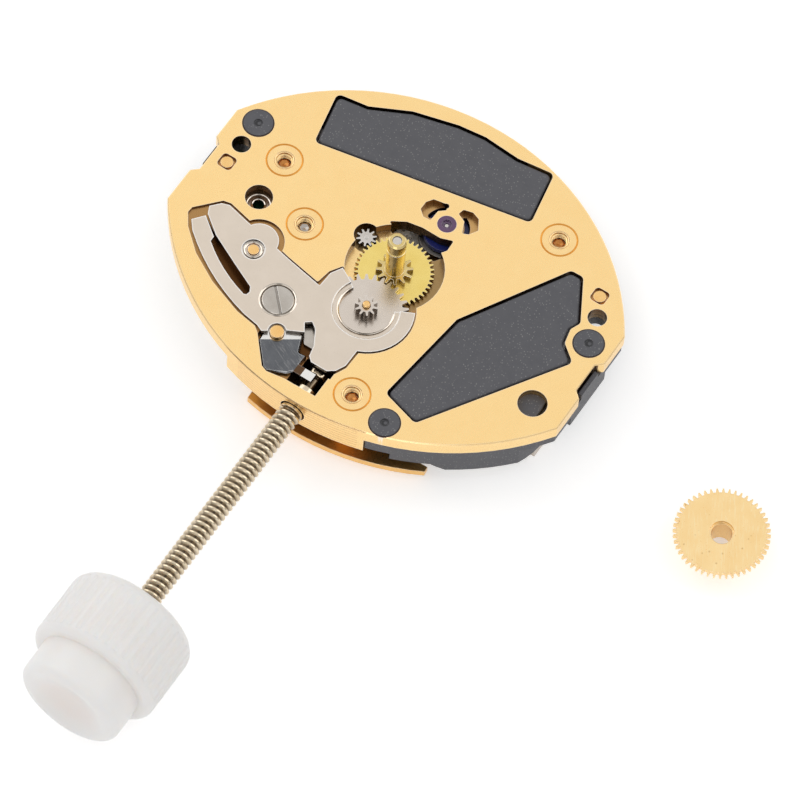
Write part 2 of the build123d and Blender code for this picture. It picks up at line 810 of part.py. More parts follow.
def cut_frame_room():
    """Room in the frame for the stem block, coil, stator, crystal and pins."""
    box(block_in_x - overrun, plate_right + overrun, block_low_y - free_gap, block_cut_y,
        top_block_low, -plate_thick, Mode.SUBTRACT)
    with BuildSketch(Plane.XY.offset(back_low)) as face:
        with Locations(coil_at):
            Rectangle(bay_wide, bay_long, rotation=coil_turn)
    extrude(face.sketch, amount=island_low - back_low, mode=Mode.SUBTRACT)
    coil_shape(coil_radius + window_gap, coil_long + 2 * window_gap, Mode.SUBTRACT)
    slab(stator_points, back_low, island_low, mode=Mode.SUBTRACT)
    stator_ends(back_low, island_low, Mode.SUBTRACT)
    crystal_shape(window_gap, Mode.SUBTRACT)
    for at in tube_at:
        plug(at, tube_radius + free_gap, back_low, -plate_thick, Mode.SUBTRACT)
    for at in foot_at:
        plug(at, foot_radius, back_low, -plate_thick, Mode.SUBTRACT)
    for at in clamp_at:
        plug(at, clamp_radius + free_gap, back_low, -plate_thick, Mode.SUBTRACT)


# Plastic frame: black, moulded in one piece
with BuildPart() as plastic_frame:
    add(frame_rim.part)
    add(cell_cup.part)
    add(islands.part)
    for wall in deep_walls:
        add(wall)
    cut_frame_room()
export(plastic_frame.part, "plastic_frame")

# Tube nuts: brass, pressed in from the dial side, one group
with BuildPart() as tube_nuts:
    for at in tube_at:
        plug(at, tube_flange_radius, -tube_flange_thick, 0)
        plug(at, tube_radius, back_top, 0)
        plug(at, tube_bore_radius, back_top, 0, Mode.SUBTRACT)
        plug(at, tube_mouth_radius, -tube_mouth_deep, 0, Mode.SUBTRACT)
export(tube_nuts.part, "tube_nuts")

# Back screws: steel, threaded up into the tube nuts, one group
with BuildPart() as back_screws:
    for at in tube_at:
        plug(at, back_head_radius, back_low, back_low + back_head_thick)
        plug(at, back_screw_radius, back_low, back_screw_tip)
        screw_slot(at, back_head_radius, back_low, back_low + slot_deep)
export(back_screws.part, "back_screws")

# Dial-foot clamp pins: gold plated, pressed in, one group
with BuildPart() as foot_clamps:
    for at in clamp_at:
        plug(at, clamp_radius, -plate_thick, clamp_top)
export(foot_clamps.part, "foot_clamps")

# Rotor jewel: synthetic ruby pressed into the plate, with an oil cup
with BuildPart() as rotor_jewel:
    plug(rotor_at, jewel_radius, jewel_low, 0)
    plug(rotor_at, jewel_cup_radius, -jewel_cup_deep, 0, Mode.SUBTRACT)
    plug(rotor_at, jewel_bore_radius, jewel_low, 0, Mode.SUBTRACT)
export(rotor_jewel.part, "rotor_jewel")

# Train bridge: the gold back plate that closes the wheels in
bearing_places = (rotor_at, inter_at, third_at)
with BuildPart() as train_bridge:
    plate_blank(back_low, back_top)
    with BuildSketch(Plane.XY.offset(back_low)):
        with BuildLine():
            Polyline(*bridge_points, close=True)
        make_face()
    extrude(amount=back_top - back_low, mode=Mode.INTERSECT)
    plug(cell_at, cup_radius + window_gap, back_low, back_top, Mode.SUBTRACT)
    for at in bearing_places:
        plug(at, back_jewel_radius, back_low, back_top, Mode.SUBTRACT)
    plug((0, 0), centre_pivot_radius + running_gap, back_low, back_top, Mode.SUBTRACT)
    screw_seat(tube_at[1])
    screw_seat(tube_at[3])
export(train_bridge.part, "train_bridge")

# Bridge jewels, one group
with BuildPart() as bridge_jewels:
    for at in bearing_places:
        plug(at, back_jewel_radius, back_jewel_low, back_top)
        plug(at, arbor_radius + running_gap, back_jewel_low, back_top, Mode.SUBTRACT)
export(bridge_jewels.part, "bridge_jewels")

# Circuit cover: nickel plate over the coil and the circuit
with BuildPart() as circuit_cover:
    plate_blank(back_low, back_top, cover_back_inset)
    with BuildSketch(Plane.XY.offset(back_low)):
        with BuildLine():
            Polyline(*circuit_cover_points, close=True)
        make_face()
    extrude(amount=back_top - back_low, mode=Mode.INTERSECT)
    screw_seat(tube_at[0])
    screw_seat(tube_at[2])
export(circuit_cover.part, "circuit_cover")

# Circuit board against the frame's underside, cut out round tubes, foot and crystal
board_low = frame_low - board_thick
with BuildPart() as circuit_board:
    slab(board_points, board_low, frame_low, corner_round)
    plug(tube_at[0], tube_radius + free_gap, board_low, frame_low, Mode.SUBTRACT)
    plug(tube_at[1], tube_radius + free_gap, board_low, frame_low, Mode.SUBTRACT)
    plug(foot_at[0], foot_radius, board_low, frame_low, Mode.SUBTRACT)
    crystal_shape(mode=Mode.SUBTRACT)
export(circuit_board.part, "circuit_board")

# Quartz crystal: a round metal can
with BuildPart() as quartz_crystal:
    crystal_shape()
export(quartz_crystal.part, "quartz_crystal")

# Chip under its drop of resin, on the board's underside
with BuildPart() as chip:
    with Locations((*chip_at, board_low)):
        Box(chip_long, chip_wide, chip_thick, align=(Align.CENTER, Align.CENTER, Align.MAX))
    fillet(chip.edges().filter_by(Axis.Z), corner_round)
export(chip.part, "chip")

# Contact ring: nickel strip under the plate, seen down its hole
with BuildPart() as contact_ring:
    plug(contact_at, contact_ring_radius, -plate_thick - contact_thick, -plate_thick)
    box(contact_at[0], contact_at[0] + contact_arm_long,
        contact_at[1] - contact_arm_wide / 2, contact_at[1] + contact_arm_wide / 2,
        -plate_thick - contact_thick, -plate_thick)
    plug(contact_at, contact_eye_radius, -plate_thick - contact_thick, -plate_thick, Mode.SUBTRACT)
export(contact_ring.part, "contact_ring")

# Coil core: soft iron strip
with BuildPart() as coil_core:
    core_shape()
export(coil_core.part, "coil_core")

# Coil winding: fine copper wire wound on the core
with BuildPart() as coil_winding:
    coil_shape(coil_radius, coil_long)
    core_shape(Mode.SUBTRACT)
export(coil_winding.part, "coil_winding")

# Stator: soft iron sheet lying on the core's ends, round the rotor's magnet
core_top = coil_z + core_thick / 2
with BuildPart() as stator:
    slab(stator_points, core_top, core_top + stator_thick)
    stator_ends(core_top, core_top + stator_thick)
    plug(rotor_at, stator_ring_radius, core_top, core_top + stator_thick)
    plug(rotor_at, stator_hole_radius, core_top, core_top + stator_thick, Mode.SUBTRACT)
export(stator.part, "stator")

# Button cell
with BuildPart() as button_cell:
    plug(cell_at, cell_radius, cell_low, cell_top)
    fillet(button_cell.edges().filter_by(GeomType.CIRCLE), small_round)
export(button_cell.part, "button_cell")

# Cell clamp: crossed straps under the cell, one end turned up on the cup's wall
strap_half = clamp_strap_wide / 2
strap_end_y = cell_at[1] + cup_radius - free_gap
with BuildPart() as cell_clamp:
    box(cell_at[0] - strap_half, cell_at[0] + strap_half,
        cell_at[1] - cell_radius + clamp_strap_wide, strap_end_y,
        cell_low - clamp_strap_thick, cell_low)
    box(cell_at[0] - cell_radius + clamp_strap_wide, cell_at[0] + cell_radius - clamp_strap_wide,
        cell_at[1] - strap_half, cell_at[1] + strap_half,
        cell_low - clamp_strap_thick, cell_low)
    box(cell_at[0] - strap_half, cell_at[0] + strap_half,
        cell_at[1] + cell_radius + 2 * free_gap, strap_end_y, cell_low, cup_low)
export(cell_clamp.part, "cell_clamp")

# Centre wheel: brass, riveted on its steel arbor
with BuildPart() as centre_wheel:
    gear((0, 0), centre_teeth, centre_module, centre_low, centre_top, centre_turn)
    plug((0, 0), centre_arbor_radius, centre_low, centre_top, Mode.SUBTRACT)
export(centre_wheel.part, "centre_wheel")

with BuildPart() as centre_arbor:
    plug((0, 0), centre_arbor_radius, centre_pivot_top, arbor_tip)
    plug((0, 0), centre_pivot_radius, arbor_foot, centre_pivot_top)
export(centre_arbor.part, "centre_arbor")

# Cannon pinion: brass, friction fit on the arbor, carries the minute hand
with BuildPart() as cannon_pinion:
    gear((0, 0), cannon_leaves, minute_module, cannon_low, cannon_leaf_top, cannon_turn)
    plug((0, 0), post_radius, cannon_low, post_top)
    chamfer(cannon_pinion.faces().sort_by(Axis.Z)[-1].edges(), post_edge)
    # round groove that the hand's collar snaps into
    with Locations((0, 0, neck_at)):
        Torus(post_radius, neck_deep, mode=Mode.SUBTRACT)
    plug((0, 0), centre_arbor_radius + running_gap, cannon_low, post_top, Mode.SUBTRACT)
export(cannon_pinion.part, "cannon_pinion")

# Third pinion and arbor in one, with the third wheel riveted on
with BuildPart() as third_pinion:
    gear(third_at, third_leaves, centre_module, third_pinion_low, third_pinion_top, third_pinion_turn)
    plug(third_at, arbor_radius, arbor_foot, third_pinion_top + running_gap)
export(third_pinion.part, "third_pinion")

with BuildPart() as third_wheel:
    gear(third_at, third_teeth, third_module, third_low, third_top, third_turn)
    plug(third_at, arbor_radius, third_low, third_top, Mode.SUBTRACT)
export(third_wheel.part, "third_wheel")

# Intermediate wheel and pinion: white plastic in one, on a steel arbor
with BuildPart() as inter_wheel:
    gear(inter_at, inter_teeth, inter_module, inter_low, inter_top, inter_turn)
    gear(inter_at, inter_leaves, third_module, inter_top, inter_pinion_top, inter_pinion_turn)
    plug(inter_at, arbor_radius, inter_low, inter_pinion_top, Mode.SUBTRACT)
export(inter_wheel.part, "inter_wheel")

with BuildPart() as inter_arbor:
    plug(inter_at, arbor_radius, arbor_foot, inter_arbor_top)
export(inter_arbor.part, "inter_arbor")

# Rotor: blue plastic disc and pinion moulded through the magnet, on a steel arbor
with BuildPart() as rotor_body:
    gear(rotor_at, rotor_leaves, inter_module, rotor_pinion_low, rotor_pinion_top, rotor_turn)
    plug(rotor_at, magnet_core_radius, rotor_pinion_top, rotor_disc_low)
    plug(rotor_at, rotor_disc_radius, rotor_disc_low, rotor_disc_top)
    plug(rotor_at, arbor_radius, rotor_pinion_low, rotor_disc_top, Mode.SUBTRACT)
export(rotor_body.part, "rotor_body")

with BuildPart() as rotor_magnet:
    plug(rotor_at, magnet_radius, magnet_low, rotor_disc_low)
    plug(rotor_at, magnet_core_radius, magnet_low, rotor_disc_low, Mode.SUBTRACT)
export(rotor_magnet.part, "rotor_magnet")

with BuildPart() as rotor_arbor:
    plug(rotor_at, arbor_radius, arbor_foot, rotor_arbor_top)
export(rotor_arbor.part, "rotor_arbor")

# Minute wheel with its pinion, polished steel, and the gold post it turns on
with BuildPart() as minute_wheel:
    gear(minute_at, minute_teeth, minute_module, minute_low, minute_top, minute_turn)
    gear(minute_at, minute_leaves, hour_module, minute_top, minute_leaf_top)
    plug(minute_at, minute_post_radius + running_gap, minute_low, minute_leaf_top, Mode.SUBTRACT)
export(minute_wheel.part, "minute_wheel")

with BuildPart() as minute_post:
    plug(minute_at, minute_post_radius, -plate_thick, minute_post_top)
    chamfer(minute_post.faces().sort_by(Axis.Z)[-1].edges(), minute_post_radius / 4)
export(minute_post.part, "minute_post")


def draw_spring_arm():
    """The long curved arm that starts at the cover's shoulder and ends in a foot."""
    with BuildSketch(Plane.XY.offset(cover_low)) as face:
        with BuildLine():
            outer = ThreePointArc(*arm_outer)
            foot = Polyline(outer @ 1, *arm_foot, arm_inner[0])
            inner = ThreePointArc(foot @ 1, *arm_inner[1:])
            Polyline(inner @ 1, *arm_root, outer @ 0)
        make_face()
    extrude(face.sketch, amount=cover_top - cover_low)


# Keyless cover: nickel-plated spring steel, open round the minute wheel
with BuildPart() as cover_plate:
    slab(cover_head, cover_low, cover_top)
    plug(minute_at, ring_radius, cover_low, cover_top)
    slab(cover_leg, cover_low, cover_top)
    plug(bump_at, bump_radius, cover_low, cover_top)
    draw_spring_arm()
    slab(ring_opening, cover_low, cover_top, mode=Mode.SUBTRACT)
    # thin lip over the rim of the minute wheel
    plug(minute_at, lip_step_radius, lip_top, cover_top, Mode.SUBTRACT)
    plug(minute_at, lip_radius, cover_low, cover_top, Mode.SUBTRACT)
    # dished seat for the screw, sink for the locating pin, notch at the lever's pin
    plug(screw_at, screw_sink_radius, screw_sink_low, cover_low)
    plug(screw_at, screw_sink_radius - screw_sink_rim, cover_low, cover_top, Mode.SUBTRACT)
    plug(screw_at, screw_shank_radius + running_gap, screw_sink_low, cover_low, Mode.SUBTRACT)
    plug(guide_at, guide_sink_radius, lip_top, cover_top, Mode.SUBTRACT)
    plug(guide_at, guide_radius + running_gap, cover_low, cover_top, Mode.SUBTRACT)
    plug(lever_pin_at, lever_notch_radius, cover_low, cover_top, Mode.SUBTRACT)
export(cover_plate.part, "cover_plate")

# Cover screw: slotted steel screw
with BuildPart() as cover_screw:
    plug(screw_at, screw_head_radius, cover_low, cover_low + screw_head_high)
    chamfer(cover_screw.faces().sort_by(Axis.Z)[-1].edges(), screw_sink_rim)
    plug(screw_at, screw_shank_radius, screw_end, cover_low)
    screw_slot(screw_at, screw_head_radius, cover_low + screw_head_high - slot_deep,
               cover_low + screw_head_high)
export(cover_screw.part, "cover_screw")

# Locating pin of the cover and pivot pin of the setting lever
with BuildPart() as guide_pin:
    plug(guide_at, guide_radius, -plate_thick, guide_top)
export(guide_pin.part, "guide_pin")

with BuildPart() as lever_pin:
    plug(lever_pin_at, lever_pin_radius, lever_pin_low, lever_pin_top)
export(lever_pin.part, "lever_pin")

# Setting lever: polished steel, its finger stands in the stem's groove
lever_shoulder_y = lever_points[3][1] - free_gap
with BuildPart() as setting_lever:
    slab(lever_points, lever_low, lever_top, small_round)
    chamfer(setting_lever.faces().sort_by(Axis.Z)[-1].edges(), lever_edge)
    box(finger_left, finger_right, lever_shoulder_y, finger_high_y, lever_low, lever_top)
    box(finger_left, finger_right, finger_high_y - stem_radius, finger_high_y, finger_low, lever_low)
    plug(lever_pin_at, lever_pin_radius + running_gap, lever_low, lever_top, Mode.SUBTRACT)
export(setting_lever.part, "setting_lever")

# Yoke: steel slide on two pins, its tongue stands in the sliding pinion's groove
slot_radius = yoke_pin_radius + running_gap
slot_start = yoke_pins[0][0] - pinion_shift - slot_radius
slot_end = yoke_pins[1][0] + slot_radius
with BuildPart() as yoke:
    slab(yoke_points, yoke_low, yoke_top)
    with BuildSketch(Plane.XY.offset(yoke_low)):
        with Locations(((slot_start + slot_end) / 2, yoke_pins[0][1])):
            SlotOverall(slot_end - slot_start, 2 * slot_radius)
    extrude(amount=yoke_top - yoke_low, mode=Mode.SUBTRACT)
export(yoke.part, "yoke")

# Sliding pinion: steel, with crown teeth towards the minute wheel and a square bore
tooth_middle = (crown_tooth_root + pinion_radius) / 2
with BuildPart() as sliding_pinion:
    rod(pinion_x + crown_tooth_deep, pinion_x + pinion_long, pinion_radius)
    rod(pinion_x + crown_tooth_deep / 2, pinion_x + crown_tooth_deep, crown_tooth_root)
    with BuildSketch(Plane.YZ.offset(pinion_x)):
        with Locations((0, stem_z)):
            with PolarLocations(tooth_middle, crown_teeth, quarter_turn + half_turn / crown_teeth):
                Rectangle(pinion_radius - crown_tooth_root, crown_tooth_wide)
    extrude(amount=crown_tooth_deep)
    groove(pinion_groove_x, pinion_groove_wide, pinion_groove_radius)
    square_bar(pinion_x, pinion_x + pinion_long, square_bore_side, Mode.SUBTRACT)
export(sliding_pinion.part, "sliding_pinion")

# Stem: steel; pilot, square, collar, groove for the lever, then the long thread
with BuildPart() as stem:
    rod(pilot_end_x, square_x, pilot_radius)
    square_bar(square_x, collar_x, square_side)
    rod(collar_x, stem_end_x, stem_radius)
    groove(groove_x, groove_end_x - groove_x, groove_radius)
export(stem.part, "stem")

# Crown: milky plastic, fluted drum and smaller dished boss, screwed on the stem
dish_ball = (dish_radius**2 + dish_deep**2) / (2 * dish_deep)
with BuildPart() as crown:
    rod(crown_x, drum_end_x, crown_radius)
    rod(drum_end_x, boss_end_x, boss_radius)
    rims = crown.edges().filter_by(GeomType.CIRCLE).group_by(Axis.X)
    fillet(rims[0], crown_back_curve)
    fillet(rims[-1], boss_curve)
    fillet(rims[1].sort_by(SortBy.RADIUS)[-1], shoulder_curve)
    with Locations((boss_end_x - dish_deep + dish_ball, 0, stem_z)):
        Sphere(dish_ball, mode=Mode.SUBTRACT)
    with BuildSketch(Plane.YZ.offset(crown_x + flute_start)):
        with Locations((0, stem_z)):
            with PolarLocations(crown_radius + flute_radius - flute_deep, flutes):
                Circle(flute_radius)
    extrude(amount=drum_end_x - flute_end - crown_x - flute_start, mode=Mode.SUBTRACT)
    rod(crown_x, stem_end_x, stem_radius, Mode.SUBTRACT)
export(crown.part, "crown")

# Hour wheel: brass wheel and pipe in one, standing on its pipe on the bench
hour_high = hour_pipe_long + hour_thick
with BuildPart() as hour_wheel:
    gear((0, 0), hour_teeth, hour_module, hour_pipe_long, hour_high, base=hour_base)
    with BuildSketch(hour_base):
        Circle(hour_pipe_radius)
    extrude(amount=hour_high)
    with BuildSketch(hour_base):
        Circle(hour_bore_radius)
    extrude(amount=hour_high, mode=Mode.SUBTRACT)
    with BuildSketch(hour_base.offset(hour_high - hour_mouth_deep)):
        Circle(hour_mouth_radius)
    extrude(amount=hour_mouth_deep, mode=Mode.SUBTRACT)
export(hour_wheel.part, "hour_wheel")
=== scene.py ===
from math import atan2, cos, pi, radians, sin, sqrt

import bmesh
import bpy
from mathutils import Matrix, Vector


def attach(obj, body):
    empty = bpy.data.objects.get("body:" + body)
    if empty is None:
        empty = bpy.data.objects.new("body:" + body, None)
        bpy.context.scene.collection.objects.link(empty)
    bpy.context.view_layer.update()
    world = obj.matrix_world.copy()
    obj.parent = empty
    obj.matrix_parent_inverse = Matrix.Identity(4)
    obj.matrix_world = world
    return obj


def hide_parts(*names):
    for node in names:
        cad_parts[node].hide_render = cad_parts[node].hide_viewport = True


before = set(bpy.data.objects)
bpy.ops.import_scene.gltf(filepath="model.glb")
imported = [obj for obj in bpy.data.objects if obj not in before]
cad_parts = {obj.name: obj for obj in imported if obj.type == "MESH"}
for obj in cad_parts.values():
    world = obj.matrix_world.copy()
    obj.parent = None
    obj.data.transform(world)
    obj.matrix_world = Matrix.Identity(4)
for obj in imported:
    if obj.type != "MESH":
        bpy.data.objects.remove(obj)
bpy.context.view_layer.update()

mm = 0.001
um = 0.000001

# ---------------------------------------------------------------------------
# The table: a plain white sheet under the movement, tilted as the movement
# lies on its back plate and on its crown, with a long lens over the dial side.
# ---------------------------------------------------------------------------
camera_place = (0.112602, 0.060320, 0.221254)
camera_right = (-0.54411, 0.83756, 0.04949)
camera_up = (-0.72221, -0.49757, 0.48045)
camera_back = (0.42703, 0.22567, 0.87562)
lens_long = 301.5
film_wide = 36

table_slope = 0.0329412
table_far_x = -7.45 * mm
table_far_z = -2.50 * mm
table_half = 1.0
table_white = (0.88, 0.88, 0.88, 1)
table_glow = 0.42
fibre_scale = 3000
fibre_detail = 3
fibre_deep = 2 * um
paper_rough = 0.9
paper_gloss = 0.1


def add_node(tree, kind, *values, **settings):
    """A node with its settings; the values fill its inputs in order."""
    made = tree.nodes.new(kind)
    for key, value in settings.items():
        setattr(made, key, value)
    for socket, value in zip(made.inputs, values):
        feed(tree, value, socket)
    return made


def feed(tree, value, socket):
    """Puts a number on an input, or links another node's output to it."""
    if isinstance(value, bpy.types.NodeSocket):
        tree.links.new(value, socket)
    elif value is not None:
        socket.default_value = value


def maths(tree, operation, *values):
    """One sum on numbers or on other nodes' outputs."""
    return add_node(tree, "ShaderNodeMath", *values, operation=operation).outputs[0]


def new_material(name):
    """An empty material with its shader, ready to be fed."""
    material = bpy.data.materials.new(name)
    material.use_nodes = True
    return material, material.node_tree, material.node_tree.nodes["Principled BSDF"].inputs


def keep_object(name, data):
    """An object for a mesh, curve, lamp or camera, put in the scene."""
    made = bpy.data.objects.new(name, data)
    bpy.context.scene.collection.objects.link(made)
    return made


def shows_background(tree):
    """One on rays that see the background: camera rays, and reflected and refracted ones."""
    seen = add_node(tree, "ShaderNodeLightPath").outputs
    either = maths(tree, "MAXIMUM", seen["Is Camera Ray"], seen["Is Glossy Ray"])
    return maths(tree, "MAXIMUM", either, seen["Is Transmission Ray"])


camera_data = bpy.data.cameras.new("camera")
camera_data.lens = lens_long
camera_data.sensor_width = film_wide
camera_data.clip_start = mm
camera = keep_object("camera", camera_data)
camera.matrix_world = Matrix.Translation(camera_place) @ Matrix(
    (camera_right, camera_up, camera_back)
).transposed().to_4x4()
bpy.context.scene.camera = camera
bpy.context.scene.view_settings.view_transform = "Standard"

table_mesh = bpy.data.meshes.new("table")
corners = [(sx * table_half, sy * table_half) for sx, sy in ((-1, -1), (1, -1), (1, 1), (-1, 1))]
table_mesh.from_pydata(
    [(x, y, table_far_z - table_slope * (x - table_far_x)) for x, y in corners],
    [], [(0, 1, 2, 3)],
)
table = keep_object("table", table_mesh)
white_paper, tree, surface = new_material("white_paper")
fibres = add_node(tree, "ShaderNodeTexNoise", None, None, fibre_scale, fibre_detail)
feed(tree, add_node(tree, "ShaderNodeTexCoord").outputs["Object"], fibres.inputs["Vector"])
surface["Base Color"].default_value = table_white
surface["Roughness"].default_value = paper_rough
surface["Specular IOR Level"].default_value = paper_gloss
surface["Emission Color"].default_value = (1, 1, 1, 1)
from_below = add_node(tree, "ShaderNodeNewGeometry").outputs["Backfacing"]
feed(tree, maths(tree, "SUBTRACT", 1.0, from_below), surface["Alpha"])
glow = maths(tree, "MULTIPLY", shows_background(tree), table_glow)
feed(tree, glow, surface["Emission Strength"])
paper_bump = add_node(tree, "ShaderNodeBump")
paper_bump.inputs["Distance"].default_value = fibre_deep
feed(tree, fibres.outputs["Fac"], paper_bump.inputs["Height"])
feed(tree, paper_bump.outputs["Normal"], surface["Normal"])
table_mesh.materials.append(white_paper)

# The studio: a white tent, greyer near the table, with the lens hole and three
# soft boxes; each box has its direction, distance, power in watts and width
hole_outer = 0.955
hole_inner = 0.975
hole_light = 0.12
tent_light = 0.62
tent_high = 0.95
tent_low = 0.55
tent_rise = (0.10, 0.75)
world = bpy.data.worlds.new("studio")
bpy.context.scene.world = world
world.use_nodes = True
tree = world.node_tree
tree.nodes.clear()
way = add_node(tree, "ShaderNodeTexCoord").outputs["Generated"]
high = add_node(tree, "ShaderNodeSeparateXYZ", way)
tent = add_node(
    tree, "ShaderNodeMapRange", high.outputs["Z"], *tent_rise, tent_low, tent_high
)
tent.interpolation_type = "SMOOTHSTEP"
towards_hole = add_node(
    tree, "ShaderNodeVectorMath", way, camera_back, operation="DOT_PRODUCT"
).outputs["Value"]
hole = add_node(
    tree, "ShaderNodeMapRange", towards_hole, hole_outer, hole_inner, 1.0, hole_light
)
tent_and_hole = maths(tree, "MULTIPLY", tent.outputs[0], hole.outputs[0])
level = add_node(tree, "ShaderNodeMix", shows_background(tree))
feed(tree, tent_light, level.inputs[2])
feed(tree, tent_and_hole, level.inputs[3])
light = add_node(tree, "ShaderNodeBackground", (1, 1, 1, 1), level.outputs[0])
out = add_node(tree, "ShaderNodeOutputWorld", light.outputs[0])

soft_boxes = (
    ("key_box", (-0.10, -1.00, 0.75), 0.26, 0.13, 0.20),
    ("top_box", (-0.60, 0.75, 0.90), 0.28, 0.09, 0.18),
    ("side_box", (0.95, 0.25, 0.60), 0.28, 0.07, 0.16),
)
for name, towards, far, power, wide in soft_boxes:
    lamp_data = bpy.data.lights.new(name, "AREA")
    lamp_data.shape = "SQUARE"
    lamp_data.size = wide
    lamp_data.energy = power
    lamp = keep_object(name, lamp_data)
    place = Vector(towards).normalized() * far
    lamp.location = place
    lamp.rotation_euler = place.to_track_quat("Z", "Y").to_euler()

# ---------------------------------------------------------------------------
# Main plate: the gold-plated brass plate that carries everything.
# It is pressed and milled, then plated; the milled block at the stem keeps
# fine tool lines, and the pressed rim keeps small dark burrs.
# ---------------------------------------------------------------------------
white = (255, 255, 255)
grain_range = (0.2, 0.8)
gold_bright = (255, 221, 158)
gold_deep = (253, 214, 147)
gold_rough = 0.30
gold_grain = 0.05 * mm
gold_grain_deep = 0.35 * um
gold_burr = (112, 62, 28)
gold_mill = (176, 112, 48)
burr_size = 0.35 * mm
burr_high_y = 3.0
burr_low_x = 2.5
burr_share = 0.47
bevel_tilt = 0.7
bevel_slack = 0.2
mill_pitch = 0.17 * mm
mill_line_crest = 0.80
block_face_x = 6.70
block_half_y = 2.97 * mm
oval_reach = (6.95, 9.4)
rim_share = 0.93
pocket_shade = (52, 26, 8)
sight_place = (1.98, 7.50)
sight_reach = 0.62
centre_floor = -0.48
centre_reach = 1.95
shaded_y = 0.2
third_place = (-0.63, -1.68)
third_reach = 0.52
recess_shade = (84, 50, 22)
# level of each pocket's floor, the painted shade's colour there and how strong it is
pocket_floor_shades = (
    (-0.10, (132, 80, 30), 0.75),
    (-0.14, (150, 88, 34), 0.75),
    (-0.28, (110, 66, 26), 0.65),
    (-0.30, (150, 96, 40), 0.60),
    (-0.42, (40, 24, 10), 0.92),
    (-0.43, (84, 50, 22), 0.80),
    (-1.33, (34, 20, 8), 0.90),
)


def shade(colour):
    """A colour read as 0 to 255 in a picture, as the renderer's linear colour."""
    parts = [part / 255 for part in colour]
    linear = [part / 12.92 if part <= 0.04045 else ((part + 0.055) / 1.055) ** 2.4
              for part in parts]
    return (*linear, 1)


def start_group(name, inputs, outputs):
    """A shader group with named inputs and outputs."""
    group = bpy.data.node_groups.new(name, "ShaderNodeTree")
    for label in inputs:
        group.interface.new_socket(label, in_out="INPUT", socket_type="NodeSocketFloat")
    for label, kind in outputs.items():
        group.interface.new_socket(label, in_out="OUTPUT", socket_type=kind)
    start = group.nodes.new("NodeGroupInput").outputs
    end = group.nodes.new("NodeGroupOutput").inputs
    place = add_node(group, "ShaderNodeTexCoord").outputs["Object"]
    return group, start, end, place


def put_group(tree, group, *values):
    """One use of a shader group with its own values."""
    made = tree.nodes.new("ShaderNodeGroup")
    made.node_tree = group
    for socket, value in zip(made.inputs, values):
        feed(tree, value, socket)
    return made.outputs


# Fine grain of a rolled, brushed or moulded surface, with broad clouds of tone
noise_detail = 3.0
cloud_to_grain = 14.0
grain_group, start, end, place = start_group(
    "surface_grain", ("Size", "Along X", "Along Y", "Along Z"),
    {"Height": "NodeSocketFloat", "Cloud": "NodeSocketFloat"},
)
scale = maths(grain_group, "DIVIDE", 1.0, start["Size"])
stretch = add_node(
    grain_group, "ShaderNodeCombineXYZ", start["Along X"], start["Along Y"], start["Along Z"]
).outputs[0]
pulled = add_node(
    grain_group, "ShaderNodeVectorMath", place, stretch, operation="MULTIPLY"
).outputs[0]
fine = add_node(grain_group, "ShaderNodeTexNoise", pulled, None, scale, noise_detail, 0.6)
cloud_scale = maths(grain_group, "DIVIDE", scale, cloud_to_grain)
cloud = add_node(grain_group, "ShaderNodeTexNoise", place, None, cloud_scale, noise_detail, 0.55)
feed(grain_group, fine.outputs["Fac"], end["Height"])
feed(grain_group, cloud.outputs["Fac"], end["Cloud"])

# Small separate specks of dirt, dust or burr
speck_core = 0.10
speck_rim = 0.34
speck_group, start, end, place = start_group(
    "specks", ("Size", "Share"), {"Mask": "NodeSocketFloat"}
)
cell_scale = maths(speck_group, "DIVIDE", 1.0, start["Size"])
cells = add_node(speck_group, "ShaderNodeTexVoronoi", place, None, cell_scale)
near = add_node(
    speck_group, "ShaderNodeMapRange", cells.outputs["Distance"], speck_core, speck_rim, 1.0, 0.0
)
chosen = maths(speck_group, "LESS_THAN", cells.outputs["Color"], start["Share"])
feed(speck_group, maths(speck_group, "MULTIPLY", near.outputs[0], chosen), end["Mask"])

# Thin hairline scratches lying one way
hairline_pull = (1.0, 0.04, 1.0)
scratch_group, start, end, place = start_group(
    "hairlines", ("Size", "Turn", "Share"), {"Mask": "NodeSocketFloat"}
)
turned = add_node(scratch_group, "ShaderNodeVectorRotate", place, rotation_type="Z_AXIS")
feed(scratch_group, start["Turn"], turned.inputs["Angle"])
long_way = add_node(
    scratch_group, "ShaderNodeVectorMath", turned.outputs[0], hairline_pull, operation="MULTIPLY"
).outputs[0]
line_scale = maths(scratch_group, "DIVIDE", 1.0, start["Size"])
lines = add_node(scratch_group, "ShaderNodeTexNoise", long_way, None, line_scale, 2.0, 0.5)
off_line = maths(
    scratch_group, "ABSOLUTE", maths(scratch_group, "SUBTRACT", lines.outputs["Fac"], 0.5)
)
thin = add_node(scratch_group, "ShaderNodeMapRange", off_line, 0.0, start["Share"], 1.0, 0.0)
feed(scratch_group, thin.outputs[0], end["Mask"])

# Corners: where they are, for painted highlight and painted edge shade, and the normal that rounds
# them off
corner_soft = 0.99
corner_sharp = 0.80
corner_group, start, end, place = start_group(
    "corner_mask_for_painted_light", ("Width",), {"Mask": "NodeSocketFloat", "Normal": "NodeSocketVector"}
)
rounded = add_node(corner_group, "ShaderNodeBevel", start["Width"], samples=6)
flat = add_node(corner_group, "ShaderNodeNewGeometry").outputs["Normal"]
alike = add_node(
    corner_group, "ShaderNodeVectorMath", rounded.outputs[0], flat, operation="DOT_PRODUCT"
).outputs["Value"]
corner_share = add_node(corner_group, "ShaderNodeMapRange", alike, corner_soft, corner_sharp, 0.0, 1.0)
feed(corner_group, corner_share.outputs[0], end["Mask"])
feed(corner_group, rounded.outputs[0], end["Normal"])


